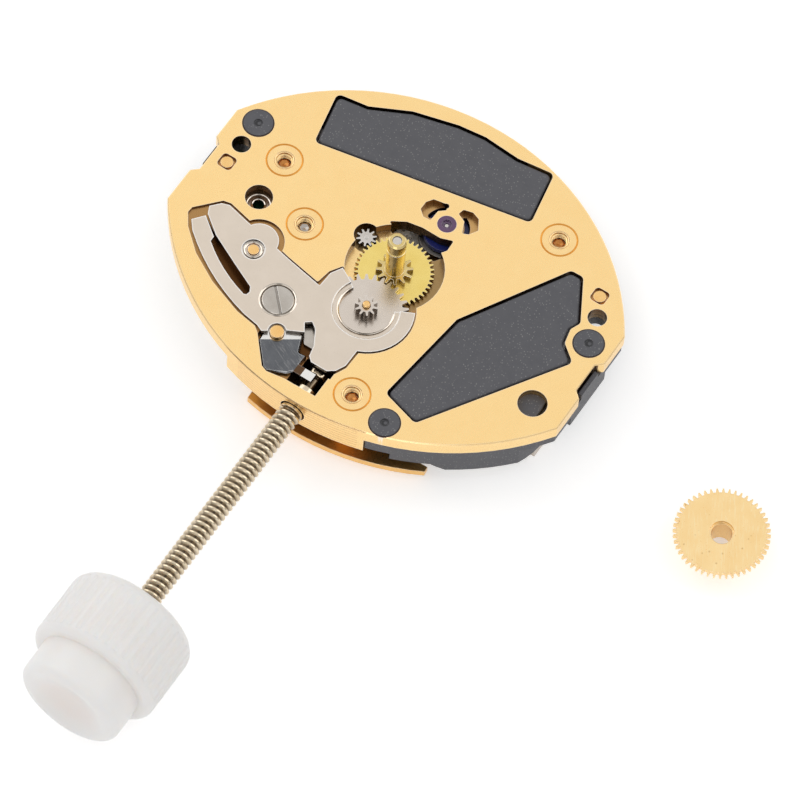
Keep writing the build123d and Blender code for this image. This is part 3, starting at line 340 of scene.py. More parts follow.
def mix_colour(tree, share, first, second):
    """Two colours mixed by a mask."""
    made = add_node(tree, "ShaderNodeMix", share, data_type="RGBA")
    feed(tree, first, made.inputs[6])
    feed(tree, second, made.inputs[7])
    return made.outputs[2]


def stain(material, mask, colour, strength=1.0):
    """Lays a colour over what the surface already has, where the mask says."""
    tree = material.node_tree
    socket = tree.nodes["Principled BSDF"].inputs["Base Color"]
    under = socket.links[0].from_socket
    share = maths(tree, "MULTIPLY", mask, strength)
    feed(tree, mix_colour(tree, share, under, shade(colour)), socket)


def watch_finish(name, bright, deep, rough, metallic, grain, grain_deep, corner=0.04 * mm,
                 painted_corner_highlight=0.0, along=(1.0, 1.0, 1.0), spread=0.10, rounded=True):
    """A finish with its grain, its clouds of tone, its rounded corners and their painted highlight.

    It takes a bright and a deep colour, the roughness, how metallic it is, the
    grain's size and depth, and the width of the corners and how white their painted highlight is.
    """
    material, tree, surface = new_material(name)
    texture = put_group(tree, grain_group, grain, *along)
    toned = mix_colour(tree, texture["Cloud"], shade(bright), shade(deep))
    feed(tree, toned, surface["Base Color"])
    surface["Metallic"].default_value = metallic
    texture_rough = add_node(
        tree, "ShaderNodeMapRange", texture["Height"], *grain_range,
        rough - spread, rough + spread,
    )
    feed(tree, texture_rough.outputs[0], surface["Roughness"])
    corners = put_group(tree, corner_group, corner)
    bump = add_node(tree, "ShaderNodeBump")
    bump.inputs["Distance"].default_value = grain_deep
    feed(tree, texture["Height"], bump.inputs["Height"])
    if rounded:
        feed(tree, corners["Normal"], bump.inputs["Normal"])
    feed(tree, bump.outputs["Normal"], surface["Normal"])
    # painted highlight: the corners are whitened
    if painted_corner_highlight:
        stain(material, corners["Mask"], white, painted_corner_highlight)
    return material


def place_of(material):
    """X, Y and Z of the surface in the movement's own frame."""
    tree = material.node_tree
    place = add_node(tree, "ShaderNodeTexCoord").outputs["Object"]
    return add_node(tree, "ShaderNodeSeparateXYZ", place).outputs


def near_level(material, level, slack=0.012):
    """One where the surface lies at a level, in millimetres."""
    tree = material.node_tree
    return add_node(
        tree, "ShaderNodeMath", place_of(material)["Z"], level * mm, slack * mm, operation="COMPARE"
    ).outputs[0]


def near_axis(material, at, radius):
    """One within a radius of an upright axis, in millimetres."""
    tree = material.node_tree
    where = place_of(material)
    flat = add_node(tree, "ShaderNodeCombineXYZ", where["X"], where["Y"]).outputs[0]
    off = add_node(
        tree, "ShaderNodeVectorMath", flat, (at[0] * mm, at[1] * mm, 0), operation="DISTANCE"
    ).outputs["Value"]
    return maths(tree, "LESS_THAN", off, radius * mm)


def both(material, *masks):
    """Where all the masks hold."""
    kept = masks[0]
    for mask in masks[1:]:
        kept = maths(material.node_tree, "MULTIPLY", kept, mask)
    return kept


def beyond(material, axis, level):
    """One where X, Y or Z is over a level, in millimetres."""
    return maths(material.node_tree, "GREATER_THAN", place_of(material)[axis], level * mm)


def short_of(material, axis, level):
    """One where X, Y or Z is under a level, in millimetres."""
    return maths(material.node_tree, "LESS_THAN", place_of(material)[axis], level * mm)


def facing_side(material):
    """One on upright walls, nought on faces that look up or down."""
    tree = material.node_tree
    normal = add_node(tree, "ShaderNodeNewGeometry").outputs["True Normal"]
    up = add_node(tree, "ShaderNodeSeparateXYZ", normal).outputs["Z"]
    upright = maths(tree, "ABSOLUTE", up)
    return maths(tree, "LESS_THAN", upright, 0.5)


def outside(material, mask):
    """One where a mask doesn't hold."""
    return maths(material.node_tree, "SUBTRACT", 1.0, mask)


def coat(material, *nodes):
    """Gives CAD nodes their finish."""
    for name in nodes:
        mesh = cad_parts[name].data
        mesh.materials.clear()
        mesh.materials.append(material)


plated_gold = watch_finish(
    "plated_gold", gold_bright, gold_deep, rough=gold_rough, metallic=1.0,
    grain=gold_grain, grain_deep=gold_grain_deep,
    corner=0.05 * mm, painted_corner_highlight=0.55, rounded=False,
)
tree = plated_gold.node_tree
walls = facing_side(plated_gold)
where = place_of(plated_gold)

# milled lines on the outer face of the stem block
at_block = beyond(plated_gold, "X", block_face_x)
beside = maths(tree, "LESS_THAN", maths(tree, "ABSOLUTE", where["Y"]), block_half_y)
layers = maths(tree, "SINE", maths(tree, "MULTIPLY", where["Z"], 2 * pi / mill_pitch))
line_crest = maths(tree, "GREATER_THAN", layers, mill_line_crest)
stain(plated_gold, both(plated_gold, at_block, beside, walls, line_crest), gold_mill, 0.45)

# painted shade and dark reflection in the pockets: on their walls, and on the floors beside the
# cover and in the train
spot = add_node(tree, "ShaderNodeTexCoord").outputs["Object"]
normal = add_node(tree, "ShaderNodeNewGeometry").outputs["True Normal"]
oval_scale = (1 / (oval_reach[0] * mm), 1 / (oval_reach[1] * mm), 0)
oval = add_node(tree, "ShaderNodeVectorMath", spot, oval_scale, operation="MULTIPLY").outputs[0]
share_out = add_node(tree, "ShaderNodeVectorMath", oval, operation="LENGTH").outputs["Value"]
outward = add_node(
    tree, "ShaderNodeVectorMath", spot, normal, operation="DOT_PRODUCT"
).outputs["Value"]
rim_wall = both(
    plated_gold, walls, maths(tree, "GREATER_THAN", share_out, rim_share),
    maths(tree, "GREATER_THAN", outward, 0.0),
)
inside = both(
    plated_gold, maths(tree, "LESS_THAN", share_out, 1.0), outside(plated_gold, rim_wall)
)
off_sight = outside(plated_gold, near_axis(plated_gold, sight_place, sight_reach))
stain(plated_gold, both(plated_gold, walls, inside, off_sight), pocket_shade, 0.88)
for level, dark, strength in pocket_floor_shades:
    stain(plated_gold, both(plated_gold, near_level(plated_gold, level), inside), dark, strength)
train_floor = near_level(plated_gold, centre_floor)
under_wheel = both(
    plated_gold, near_axis(plated_gold, (0, 0), centre_reach), beyond(plated_gold, "Y", shaded_y)
)
stain(plated_gold, both(plated_gold, train_floor, under_wheel), recess_shade, 0.70)
under_pinion = near_axis(plated_gold, third_place, third_reach)
stain(plated_gold, both(plated_gold, train_floor, under_pinion), pocket_shade, 0.80)

# burrs left by the press along the rim on the 4 and 5 o'clock side
up = add_node(tree, "ShaderNodeSeparateXYZ", normal).outputs["Z"]
bevelled = add_node(
    tree, "ShaderNodeMath", up, bevel_tilt, bevel_slack, operation="COMPARE"
).outputs[0]
at_rim = both(
    plated_gold, bevelled, outside(plated_gold, inside),
    short_of(plated_gold, "Y", burr_high_y), beyond(plated_gold, "X", burr_low_x),
)
burrs = add_node(tree, "ShaderNodeTexNoise", None, None, 1 / burr_size, 2, 0.6).outputs["Fac"]
torn_up = maths(tree, "GREATER_THAN", burrs, burr_share)
stain(plated_gold, both(plated_gold, at_rim, torn_up), gold_burr, 0.85)
coat(plated_gold, "main_plate")

# ---------------------------------------------------------------------------
# Plastic frame: black moulding that fills the plate's windows and holds the
# cell, the coil and the circuit; its matt skin has a fine spark grain and
# carries a little pale dust.
# ---------------------------------------------------------------------------
frame_grey = (93, 93, 97)
frame_dark = (80, 80, 85)
frame_edge_shade = (26, 26, 28)
dust = (186, 184, 180)
# size, share and strength of the pale specks, from spark grain to dust
frame_specks = ((0.085, 0.45, 0.40), (0.16, 0.10, 0.34), (0.45, 0.04, 0.40))
gap_dark = (22, 12, 8)
gap_brown = (70, 32, 12)
mark_shade_reach = 0.12
painted_glint_reach = 0.07
painted_glint_shift = 0.03
peg_places = ((-2.41, -7.84), (-1.42, 7.87), (5.85, 3.35))
peg_shade_radius = 0.605
peg_shade_wire = 0.03
gap_shade_ends = ((-3.76, 6.16), (-1.98, 7.15))
gap_shade_wide = 0.24
gap_shade_thick = 0.02
gap_shade_level = -0.45

black_moulding = watch_finish(
    "black_moulding", frame_grey, frame_dark, rough=0.52, metallic=0.0,
    grain=0.035 * mm, grain_deep=2.2 * um,
    corner=0.05 * mm, painted_corner_highlight=0.10,
)
tree = black_moulding.node_tree
for size, share, strength in frame_specks:
    stain(black_moulding, put_group(tree, speck_group, size * mm, share)["Mask"], dust, strength)
# painted shade along the corners: the dark gap round the islands
stain(black_moulding, put_group(tree, corner_group, 0.07 * mm)["Mask"], frame_edge_shade, 0.85)
# each peg's mark: painted shade in its middle and a painted glint beside it
for at in peg_places:
    stain(black_moulding, near_axis(black_moulding, at, mark_shade_reach), frame_edge_shade, 0.8)
    painted_glint = near_axis(black_moulding, (at[0] - painted_glint_shift, at[1] + painted_glint_shift), painted_glint_reach)
    stain(black_moulding, painted_glint, frame_grey, 0.9)
coat(black_moulding, "plastic_frame")
# a near-black finish for the pieces that paint shadow into gaps
gap_black, tree, surface = new_material("gap_shadow")
feed(tree, mix_colour(
    tree, add_node(tree, "ShaderNodeTexNoise", None, None, 1 / burr_size).outputs["Fac"],
    shade(gap_dark), shade(gap_brown),
), surface["Base Color"])
surface["Roughness"].default_value = 0.6

# ---------------------------------------------------------------------------
# Tube nuts and back screws: brass tubes pressed into the plate, threaded
# inside, with the ends of the steel back screws seen down their bores.
# A thin orange ring round each flange, where it is pressed in, paints the shade and gold reflection
# in the seam.
# ---------------------------------------------------------------------------
tube_places = ((-1.60, -6.09), (0.33, -3.89), (-4.62, 4.52), (5.52, 1.67))
tube_flange_radius = 0.70
tube_seam_wire = 0.045
mouth_line_radius = 0.36
mouth_line_wire = 0.035
tube_bore_radius = 0.32
tube_thread_low = -0.33
tube_thread_top = -0.07
tube_thread_pitch = 0.075
tube_thread_deep = 0.05
screw_tip_low = -0.345
screw_tip_high = -0.26
screw_tip_radius = 0.26
screw_tip_sides = 6
tip_bevel_high = 0.04
tip_bevel_wide = 0.08
tip_hollow_radius = 0.08
tip_hollow_rim = 0.02
tip_hollow_deep = 0.05
on_axis = 0.001
tube_bright = (255, 224, 164)
tube_deep = (250, 208, 140)
seam_shade_orange = (238, 172, 80)
seam_shade_deep = (206, 130, 48)
screw_bright = (196, 190, 184)
screw_deep = (150, 142, 134)
tip_bright = (214, 150, 84)
tip_deep = (150, 88, 40)
sharp_edge = radians(32)


def mesh_piece(name, shape, body, material):
    """Turns a built shape into a piece of the movement with its body and finish."""
    bmesh.ops.remove_doubles(shape, verts=shape.verts, dist=um)
    bmesh.ops.recalc_face_normals(shape, faces=shape.faces)
    for edge in shape.edges:
        edge.smooth = edge.calc_face_angle(pi) < sharp_edge
    for face in shape.faces:
        face.smooth = True
    mesh = bpy.data.meshes.new(name)
    shape.to_mesh(mesh)
    shape.free()
    piece = keep_object(name, mesh)
    mesh.materials.append(material)
    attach(piece, body)
    return piece


def upright(at):
    """Puts a turned shape on a vertical axis: along, radius, angle to X, Y, Z in metres."""
    def place(along, radius, angle):
        return ((at[0] + radius * cos(angle)) * mm, (at[1] + radius * sin(angle)) * mm, along * mm)
    return place


def turn(shape, profile, place, sides=48, start=0.0, sweep=2 * pi):
    """Turns a profile of (along, radius) points round its axis, all round or over a sweep."""
    rows = [
        [shape.verts.new(place(along, radius, start + sweep * k / sides))
         for k in range(sides + 1)]
        for along, radius in profile
    ]
    for low, high in zip(rows, rows[1:]):
        for k in range(sides):
            shape.faces.new((low[k], low[k + 1], high[k + 1], high[k]))


def ring(shape, at, radius, wire, level, sides=48, around=8, start=0.0, sweep=2 * pi):
    """A thin round wire laid in a circle, or along part of one."""
    turn(shape, [
        (level + wire * sin(2 * pi * k / around), radius + wire * cos(2 * pi * k / around))
        for k in range(around + 1)
    ], upright(at), sides, start, sweep)


def thread(shape, place, start, end, pitch, crest, root, sides=24, flat=0.12):
    """A helical thread between two ends; its crest and root are narrow flats."""
    profile = ((0.0, root), (0.5 - flat, crest), (0.5 + flat, crest), (1.0, root))
    steps = int((end - start) / pitch * sides) + sides
    rows = []
    for k in range(steps + 1):
        base = start - pitch + pitch * k / sides
        row = []
        for share, radius in profile:
            along = base + share * pitch
            inside = start <= along <= end
            kept = min(max(along, start), end)
            spot = place(kept, radius if inside else root, 2 * pi * k / sides)
            row.append(shape.verts.new(spot))
        rows.append(row)
    for low, high in zip(rows, rows[1:]):
        for k in range(len(profile) - 1):
            shape.faces.new((low[k], low[k + 1], high[k + 1], high[k]))


tube_brass = watch_finish(
    "tube_brass", tube_bright, tube_deep, rough=0.30, metallic=1.0,
    grain=0.04 * mm, grain_deep=0.5 * um,
    corner=0.03 * mm, painted_corner_highlight=0.5,
)
coat(tube_brass, "tube_nuts")
screw_steel = watch_finish(
    "screw_steel", screw_bright, screw_deep, rough=0.28, metallic=1.0,
    grain=0.04 * mm, grain_deep=0.5 * um,
    corner=0.03 * mm, painted_corner_highlight=0.3,
)
coat(screw_steel, "back_screws")
# the seam rings' orange is painted shade and reflection in the press seam
seam_shade_finish = watch_finish(
    "press_seam_shade", seam_shade_orange, seam_shade_deep, rough=0.42, metallic=1.0,
    grain=0.05 * mm, grain_deep=0.6 * um,
)
seam_shades = bmesh.new()
for at in tube_places:
    ring(seam_shades, at, tube_flange_radius, tube_seam_wire, -tube_seam_wire / 2)
mesh_piece("tube_seam_shades", seam_shades, "plate", seam_shade_finish)
# dark rings round the pegs paint the shadow in their gaps
peg_gap_shades = bmesh.new()
for at in peg_places:
    ring(peg_gap_shades, at, peg_shade_radius, peg_shade_wire, -peg_shade_wire / 2)
mesh_piece("peg_gap_shade_rings", peg_gap_shades, "plate", gap_black)

# a dark sheet that paints shadow into the open gap beside the 12 o'clock island, where the table
# would shine through
shade_sheet = bmesh.new()
from_end, to_end = (Vector((*at, gap_shade_level)) for at in gap_shade_ends)
lie = Matrix.Rotation(atan2(to_end.y - from_end.y, to_end.x - from_end.x), 4, "Z")
bmesh.ops.create_cube(shade_sheet, matrix=(
    Matrix.Translation((from_end + to_end) / 2 * mm) @ lie
    @ Matrix.Diagonal(((to_end - from_end).length * mm, gap_shade_wide * mm, gap_shade_thick * mm, 1))
))
mesh_piece("gap_shade_sheet", shade_sheet, "plate", gap_black)

tube_threads = bmesh.new()
for at in tube_places:
    thread(tube_threads, upright(at), tube_thread_low, tube_thread_top, tube_thread_pitch,
           tube_bore_radius - tube_thread_deep, tube_bore_radius)
    ring(tube_threads, at, mouth_line_radius, mouth_line_wire, -mouth_line_wire / 2)
mesh_piece("tube_threads", tube_threads, "plate", tube_brass)

tip_orange = watch_finish(
    "orange_brown_tip", tip_bright, tip_deep, rough=0.26, metallic=1.0,
    grain=0.05 * mm, grain_deep=0.8 * um,
    corner=0.03 * mm, painted_corner_highlight=0.5,
)
# three of the steel screw tips are coloured orange-brown, the fourth is left steel
for name, places, finish in (
    ("screw_tips_orange", (tube_places[0], tube_places[2], tube_places[3]), tip_orange),
    ("screw_tips_bright", (tube_places[1],), screw_steel),
):
    screw_tips = bmesh.new()
    for at in places:
        turn(screw_tips, [
            (screw_tip_low, screw_tip_radius), (screw_tip_high - tip_bevel_high, screw_tip_radius),
            (screw_tip_high, screw_tip_radius - tip_bevel_wide),
            (screw_tip_high - tip_hollow_rim, tip_hollow_radius),
            (screw_tip_high - tip_hollow_deep, on_axis),
        ], upright(at), screw_tip_sides)
    mesh_piece(name, screw_tips, "plate", finish)

# ---------------------------------------------------------------------------
# Small gold pins: the two dial-foot clamps in their square sinks, the minute
# wheel's post, the cover's locating pin and the setting lever's pivot.
# All are turned brass, gold plated.
# ---------------------------------------------------------------------------
pin_bright = (252, 214, 150)
pin_deep = (240, 186, 110)
pin_gold = watch_finish(
    "pin_gold", pin_bright, pin_deep, rough=0.26, metallic=1.0,
    grain=0.04 * mm, grain_deep=0.5 * um,
    corner=0.04 * mm, painted_corner_highlight=0.5,
)
coat(pin_gold, "foot_clamps", "minute_post", "guide_pin", "lever_pin")

# ---------------------------------------------------------------------------
# Jewels: synthetic ruby, clear purple-red, pressed in; the rotor's shows in
# the plate with its oil cup, three more sit in the back plate.
# ---------------------------------------------------------------------------
ruby_bright = (120, 62, 128)
ruby_deep = (86, 34, 92)
ruby_clear = 0.35
ruby_ior = 1.76
ruby = watch_finish(
    "ruby", ruby_bright, ruby_deep, rough=0.10, metallic=0.0,
    grain=0.06 * mm, grain_deep=0.2 * um,
    corner=0.03 * mm, painted_corner_highlight=0.35, spread=0.04,
)
ruby_surface = ruby.node_tree.nodes["Principled BSDF"].inputs
ruby_surface["Transmission Weight"].default_value = ruby_clear
ruby_surface["IOR"].default_value = ruby_ior
coat(ruby, "rotor_jewel", "bridge_jewels")

# ---------------------------------------------------------------------------
# Going train: brass centre wheel on its steel arbor, steel third pinion with
# its brass wheel, white plastic intermediate wheel, and the rotor with its
# blue plastic disc and black magnet. The teeth come with the CAD nodes.
# ---------------------------------------------------------------------------
wheel_yellow = (246, 222, 138)
wheel_deep = (232, 202, 108)
tooth_wall_shade = ((70, 44, 12), 0.6)
steel_bright = (226, 222, 216)
steel_deep = (190, 182, 174)
steel_wall_shade = ((50, 42, 34), 0.6)
gear_white = (236, 232, 226)
gear_shade = (222, 216, 208)
rotor_blue = (28, 46, 128)
rotor_deep = (18, 30, 92)
magnet_grey = (74, 72, 72)
magnet_deep = (50, 48, 48)
wheel_brass = watch_finish(
    "wheel_brass", wheel_yellow, wheel_deep, rough=0.27, metallic=1.0,
    grain=0.05 * mm, grain_deep=0.5 * um,
    corner=0.025 * mm, painted_corner_highlight=0.6, along=(1.0, 6.0, 1.0), rounded=False,
)
# painted shade on the tooth flanks and other upright walls
stain(wheel_brass, facing_side(wheel_brass), *tooth_wall_shade)
coat(wheel_brass, "centre_wheel", "third_wheel")
train_steel = watch_finish(
    "train_steel", steel_bright, steel_deep, rough=0.20, metallic=1.0,
    grain=0.05 * mm, grain_deep=0.4 * um,
    corner=0.025 * mm, painted_corner_highlight=0.8, rounded=False,
)
# painted shade on the upright walls
stain(train_steel, facing_side(train_steel), *steel_wall_shade)
coat(
    train_steel, "centre_arbor", "third_pinion", "inter_arbor", "rotor_arbor", "sliding_pinion"
)
white_plastic = watch_finish(
    "white_gear_plastic", gear_white, gear_shade, rough=0.38, metallic=0.0,
    grain=0.05 * mm, grain_deep=1.0 * um,
    corner=0.025 * mm,
)
coat(white_plastic, "inter_wheel")
blue_plastic = watch_finish(
    "blue_rotor_plastic", rotor_blue, rotor_deep, rough=0.30, metallic=0.0,
    grain=0.05 * mm, grain_deep=1.0 * um,
    corner=0.03 * mm, painted_corner_highlight=0.15,
)
coat(blue_plastic, "rotor_body")
magnet_black = watch_finish(
    "sintered_magnet", magnet_grey, magnet_deep, rough=0.45, metallic=0.6,
    grain=0.03 * mm, grain_deep=1.5 * um,
)
coat(magnet_black, "rotor_magnet")

# ---------------------------------------------------------------------------
# Cannon pinion: brass, turned from the bar, with its leaves at the foot and
# the hand's seat at the top; fine turning lines, dark with painted shade, run round the post.
# ---------------------------------------------------------------------------
post_bright = (244, 220, 156)
post_deep = (196, 170, 104)
post_ring_pitch = 0.115 * mm
post_ring_crest = 0.75
turning_line_shade = ((84, 64, 32), 0.60)
post_foot_z = -0.055
post_foot_shade = ((92, 66, 28), 0.60)
post_brass = watch_finish(
    "post_brass", post_bright, post_deep, rough=0.14, metallic=1.0,
    grain=0.04 * mm, grain_deep=0.5 * um,
    corner=0.03 * mm, painted_corner_highlight=0.7, along=(1.0, 1.0, 10.0), spread=0.05,
)
tree = post_brass.node_tree
where = place_of(post_brass)
# turning lines on the post, drawn dark as painted shade too
rings = maths(tree, "SINE", maths(tree, "MULTIPLY", where["Z"], 2 * pi / post_ring_pitch))
ring_crest = maths(tree, "GREATER_THAN", rings, post_ring_crest)
stain(post_brass, both(post_brass, ring_crest, facing_side(post_brass)), *turning_line_shade)
# painted shade on the walls at the post's foot
foot_walls = both(post_brass, facing_side(post_brass), short_of(post_brass, "Z", post_foot_z))
stain(post_brass, foot_walls, *post_foot_shade)
coat(post_brass, "cannon_pinion")

# ---------------------------------------------------------------------------
# Minute wheel: steel, flat polished, with its pinion standing up; it lies
# under the thin lip of the cover.
# ---------------------------------------------------------------------------
minute_bright = (224, 214, 203)
minute_deep = (208, 196, 184)
leaf_foot_z = -0.125
leaf_wall_shade = ((60, 50, 44), 0.65)
minute_steel = watch_finish(
    "minute_steel", minute_bright, minute_deep, rough=0.26, metallic=1.0,
    grain=0.06 * mm, grain_deep=0.25 * um,
    corner=0.025 * mm, painted_corner_highlight=0.7, spread=0.05, rounded=False,
)
# painted shade on the pinion's upright leaves
leaf_walls = both(
    minute_steel, facing_side(minute_steel), beyond(minute_steel, "Z", leaf_foot_z)
)
stain(minute_steel, leaf_walls, *leaf_wall_shade)
coat(minute_steel, "minute_wheel")

# ---------------------------------------------------------------------------
# Keyless cover and its screw: the cover is nickel-plated spring steel with a
# satin face and rolled edges, painted highlight on its corners and painted shade on its walls; the
# screw is polished steel, slotted.
# ---------------------------------------------------------------------------
screw_place = (3.72, -2.88)
screw_seat_reach = 0.80
minute_place = (2.15, 0.10)
lip_reach = 1.40
lip_lines = ((1.30, 0.022), (1.08, 0.045))
lip_start = radians(-116)
lip_sweep = radians(228)
cover_face = 0.05
seat_line_radius = 0.70
seat_line_wire = 0.05
slot_floor = -0.01
slot_shade = (88, 78, 68)
guide_place = (2.40, -4.87)
guide_reach = 0.50
guide_collar_radius = 0.325
guide_collar_wire = 0.065
guide_collar_z = -0.02
seat_shade = (34, 28, 26)
nickel_bright = (225, 212, 197)
nickel_deep = (213, 200, 184)
head_bright = (206, 200, 192)
head_deep = (170, 162, 152)
head_rim_z = 0.045
edge_bright = (232, 222, 210)
edge_deep = (190, 178, 164)

nickel_cover = watch_finish(
    "satin_nickel", nickel_bright, nickel_deep, rough=0.34, metallic=1.0,
    grain=0.06 * mm, grain_deep=0.35 * um,
    corner=0.10 * mm, painted_corner_highlight=1.0, rounded=False,
)
nickel_walls = facing_side(nickel_cover)
# painted shade on the walls round the screw seat, the minute wheel lip and the guide pin, and
# lighter on all other walls
for at, radius in (
    (screw_place, screw_seat_reach), (minute_place, lip_reach), (guide_place, guide_reach),
):
    seat_walls = both(nickel_cover, nickel_walls, near_axis(nickel_cover, at, radius))
    stain(nickel_cover, seat_walls, seat_shade, 0.85)
stain(nickel_cover, nickel_walls, seat_shade, 0.60)
coat(nickel_cover, "cover_plate")
head_steel = watch_finish(
    "head_steel", head_bright, head_deep, rough=0.22, metallic=1.0,
    grain=0.05 * mm, grain_deep=0.6 * um,
    corner=0.04 * mm, painted_corner_highlight=0.6, along=(6.0, 1.0, 1.0),
)
# painted shade on the slot's floor and on the head's lower walls
stain(head_steel, near_level(head_steel, slot_floor), slot_shade, 0.45)
head_walls = both(head_steel, facing_side(head_steel), short_of(head_steel, "Z", head_rim_z))
stain(head_steel, head_walls, seat_shade, 0.5)
coat(head_steel, "cover_screw", "yoke")
rolled_nickel = watch_finish(
    "rolled_nickel", edge_bright, edge_deep, rough=0.10, metallic=1.0,
    grain=0.05 * mm, grain_deep=0.3 * um,
    rounded=False, spread=0.04,
)
rolled_edges = bmesh.new()
ring(rolled_edges, guide_place, guide_collar_radius, guide_collar_wire, guide_collar_z)
ring(rolled_edges, screw_place, seat_line_radius, seat_line_wire, cover_face - seat_line_wire / 2)
for radius, wire in lip_lines:
    ring(rolled_edges, minute_place, radius, wire, cover_face - wire,
         start=lip_start, sweep=lip_sweep)
mesh_piece("rolled_edges", rolled_edges, "plate", rolled_nickel)

# ---------------------------------------------------------------------------
# Setting lever: hardened steel with a black-polished face, finely scratched,
# and a chamfer all round whitened by painted highlight, with a painted highlight band along one
# side.
# ---------------------------------------------------------------------------
lever_dark = (112, 114, 118)
lever_deep = (88, 90, 94)
lever_bright = (236, 234, 230)
finger_neck_y = -0.74
finger_tip_y = -0.42
finger_shadow = (96, 66, 34)
highlight_band_across = (0.825, 0.566, 0)
highlight_band_end = 3.06 * mm
band_rough = 0.10 * mm
tear_scale = 9000
hair_size = 0.06 * mm
hair_turn = radians(25)
lever_steel = watch_finish(
    "black_polished_steel", lever_dark, lever_deep, rough=0.20, metallic=1.0,
    grain=0.04 * mm, grain_deep=0.8 * um,
    corner=0.07 * mm, painted_corner_highlight=1.0, rounded=False,
)
tree = lever_steel.node_tree
# painted highlight: a bright band along one side of the lever
across = add_node(
    tree, "ShaderNodeVectorMath", add_node(tree, "ShaderNodeTexCoord").outputs["Object"],
    highlight_band_across, operation="DOT_PRODUCT",
).outputs["Value"]
ragged = add_node(tree, "ShaderNodeTexNoise", None, None, tear_scale, 3, 0.7).outputs["Fac"]
torn = maths(tree, "MULTIPLY", maths(tree, "SUBTRACT", ragged, 0.5), band_rough)
in_highlight_band = maths(tree, "LESS_THAN", maths(tree, "ADD", across, torn), highlight_band_end)
stain(lever_steel, in_highlight_band, lever_bright, 0.95)
hairs = put_group(tree, scratch_group, hair_size, hair_turn, 0.02)["Mask"]
stain(lever_steel, hairs, lever_bright, 0.20)
stain(lever_steel, beyond(lever_steel, "Y", finger_neck_y), finger_shadow, 0.85)
# painted highlight on the finger's tip
stain(lever_steel, beyond(lever_steel, "Y", finger_tip_y), lever_bright, 1.0)
coat(lever_steel, "setting_lever")

# ---------------------------------------------------------------------------
# Stem: one piece of steel turned and threaded, with a pilot, a square for the
# sliding pinion, a groove for the setting lever and the long thread that is
# cut to length with the case. It is drawn here with its thread.
# ---------------------------------------------------------------------------
stem_z = -0.72
stem_radius = 0.475
stem_root = 0.375
stem_core = 0.37
stem_pitch = 0.25
stem_edge = 0.03
# start, end and half width of the pilot and the square, start and end of the collar
pilot = (2.85, 3.88, 0.20)
square = (3.88, 5.22, 0.36)
collar = (5.22, 5.45)
groove_radius = 0.24
shaft_start = 6.05
thread_start = 7.20
stem_end = 18.60
stem_bright = (232, 218, 194)
stem_deep = (196, 178, 148)
thread_root_shade = (74, 52, 28)
bright_crest = 0.012
pilot_sides = 32
square_sides = 4
shaft_sides = 40


def along_stem(along, radius, angle):
    """Puts a turned shape on the stem's axis: along, radius, angle to X, Y, Z in metres."""
    return (along * mm, radius * cos(angle) * mm, (stem_z + radius * sin(angle)) * mm)


def off_stem(material):
    """How far the surface is from the stem's axis."""
    tree = material.node_tree
    flat = add_node(
        tree, "ShaderNodeVectorMath", add_node(tree, "ShaderNodeTexCoord").outputs["Object"],
        (0, 1, 1), operation="MULTIPLY",
    ).outputs[0]
    return add_node(
        tree, "ShaderNodeVectorMath", flat, (0, 0, stem_z * mm), operation="DISTANCE"
    ).outputs["Value"]


stem_finish = watch_finish(
    "bronzed_steel", stem_bright, stem_deep, rough=0.16, metallic=1.0,
    grain=0.05 * mm, grain_deep=0.5 * um,
    corner=0.02 * mm, painted_corner_highlight=0.2,
)
# painted shade, darker down in the thread's roots and the grooves
in_groove = add_node(
    stem_finish.node_tree, "ShaderNodeMapRange", off_stem(stem_finish),
    stem_root * mm, (stem_radius - bright_crest) * mm, 1.0, 0.0,
).outputs[0]
stain(stem_finish, in_groove, thread_root_shade, 0.78)
stem = bmesh.new()
turn(stem, [
    (pilot[0], on_axis), (pilot[0], pilot[2] - stem_edge),
    (pilot[0] + stem_edge, pilot[2]), (pilot[1], pilot[2]),
], along_stem, pilot_sides)
turn(stem, [
    (square[0], on_axis), (square[0], square[2] / sqrt(2)), (square[1], square[2] / sqrt(2)),
], along_stem, square_sides, pi / square_sides)
turn(stem, [
    (collar[0], on_axis), (collar[0], stem_radius - stem_edge),
    (collar[0] + stem_edge, stem_radius), (collar[1] - stem_edge, stem_radius),
    (collar[1], stem_radius - stem_edge), (collar[1], groove_radius),
    (shaft_start, groove_radius), (shaft_start, stem_radius - stem_edge),
    (shaft_start + stem_edge, stem_radius), (thread_start - stem_edge, stem_radius),
    (thread_start, stem_core), (stem_end, stem_core), (stem_end, on_axis),
], along_stem, shaft_sides)
thread(stem, along_stem, thread_start, stem_end, stem_pitch, stem_radius, stem_root)
threaded_stem = mesh_piece("threaded_stem", stem, "stem", stem_finish)
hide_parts("stem")

# ---------------------------------------------------------------------------
# Crown: a milky plastic button, fluted round its drum, with a smaller dished
# boss; it is a setting crown screwed on the stem's end. A speck or two of
# dirt sits in its skin.
# ---------------------------------------------------------------------------
milk = (249, 246, 244)
milk_warm = (245, 240, 237)
dish_pink = (243, 235, 231)
dish_reach = 1.62 * mm
boss_start = 20.5
milk_weight = 0.9
milk_reach = (1.0, 0.9, 0.8)
milk_deep = 1.6 * mm
dirt_size = 1.1 * mm
dirt_share = 0.03
dirt_stain = ((150, 140, 132), 0.25)
milky_plastic = watch_finish(
    "milky_plastic", milk, milk_warm, rough=0.34, metallic=0.0,
    grain=0.12 * mm, grain_deep=1.5 * um,
    corner=0.10 * mm, spread=0.06,
)
milky_surface = milky_plastic.node_tree.nodes["Principled BSDF"].inputs
milky_surface["Subsurface Weight"].default_value = milk_weight
milky_surface["Subsurface Radius"].default_value = milk_reach
milky_surface["Subsurface Scale"].default_value = milk_deep
tree = milky_plastic.node_tree
stain(milky_plastic, put_group(tree, speck_group, dirt_size, dirt_share)["Mask"], *dirt_stain)
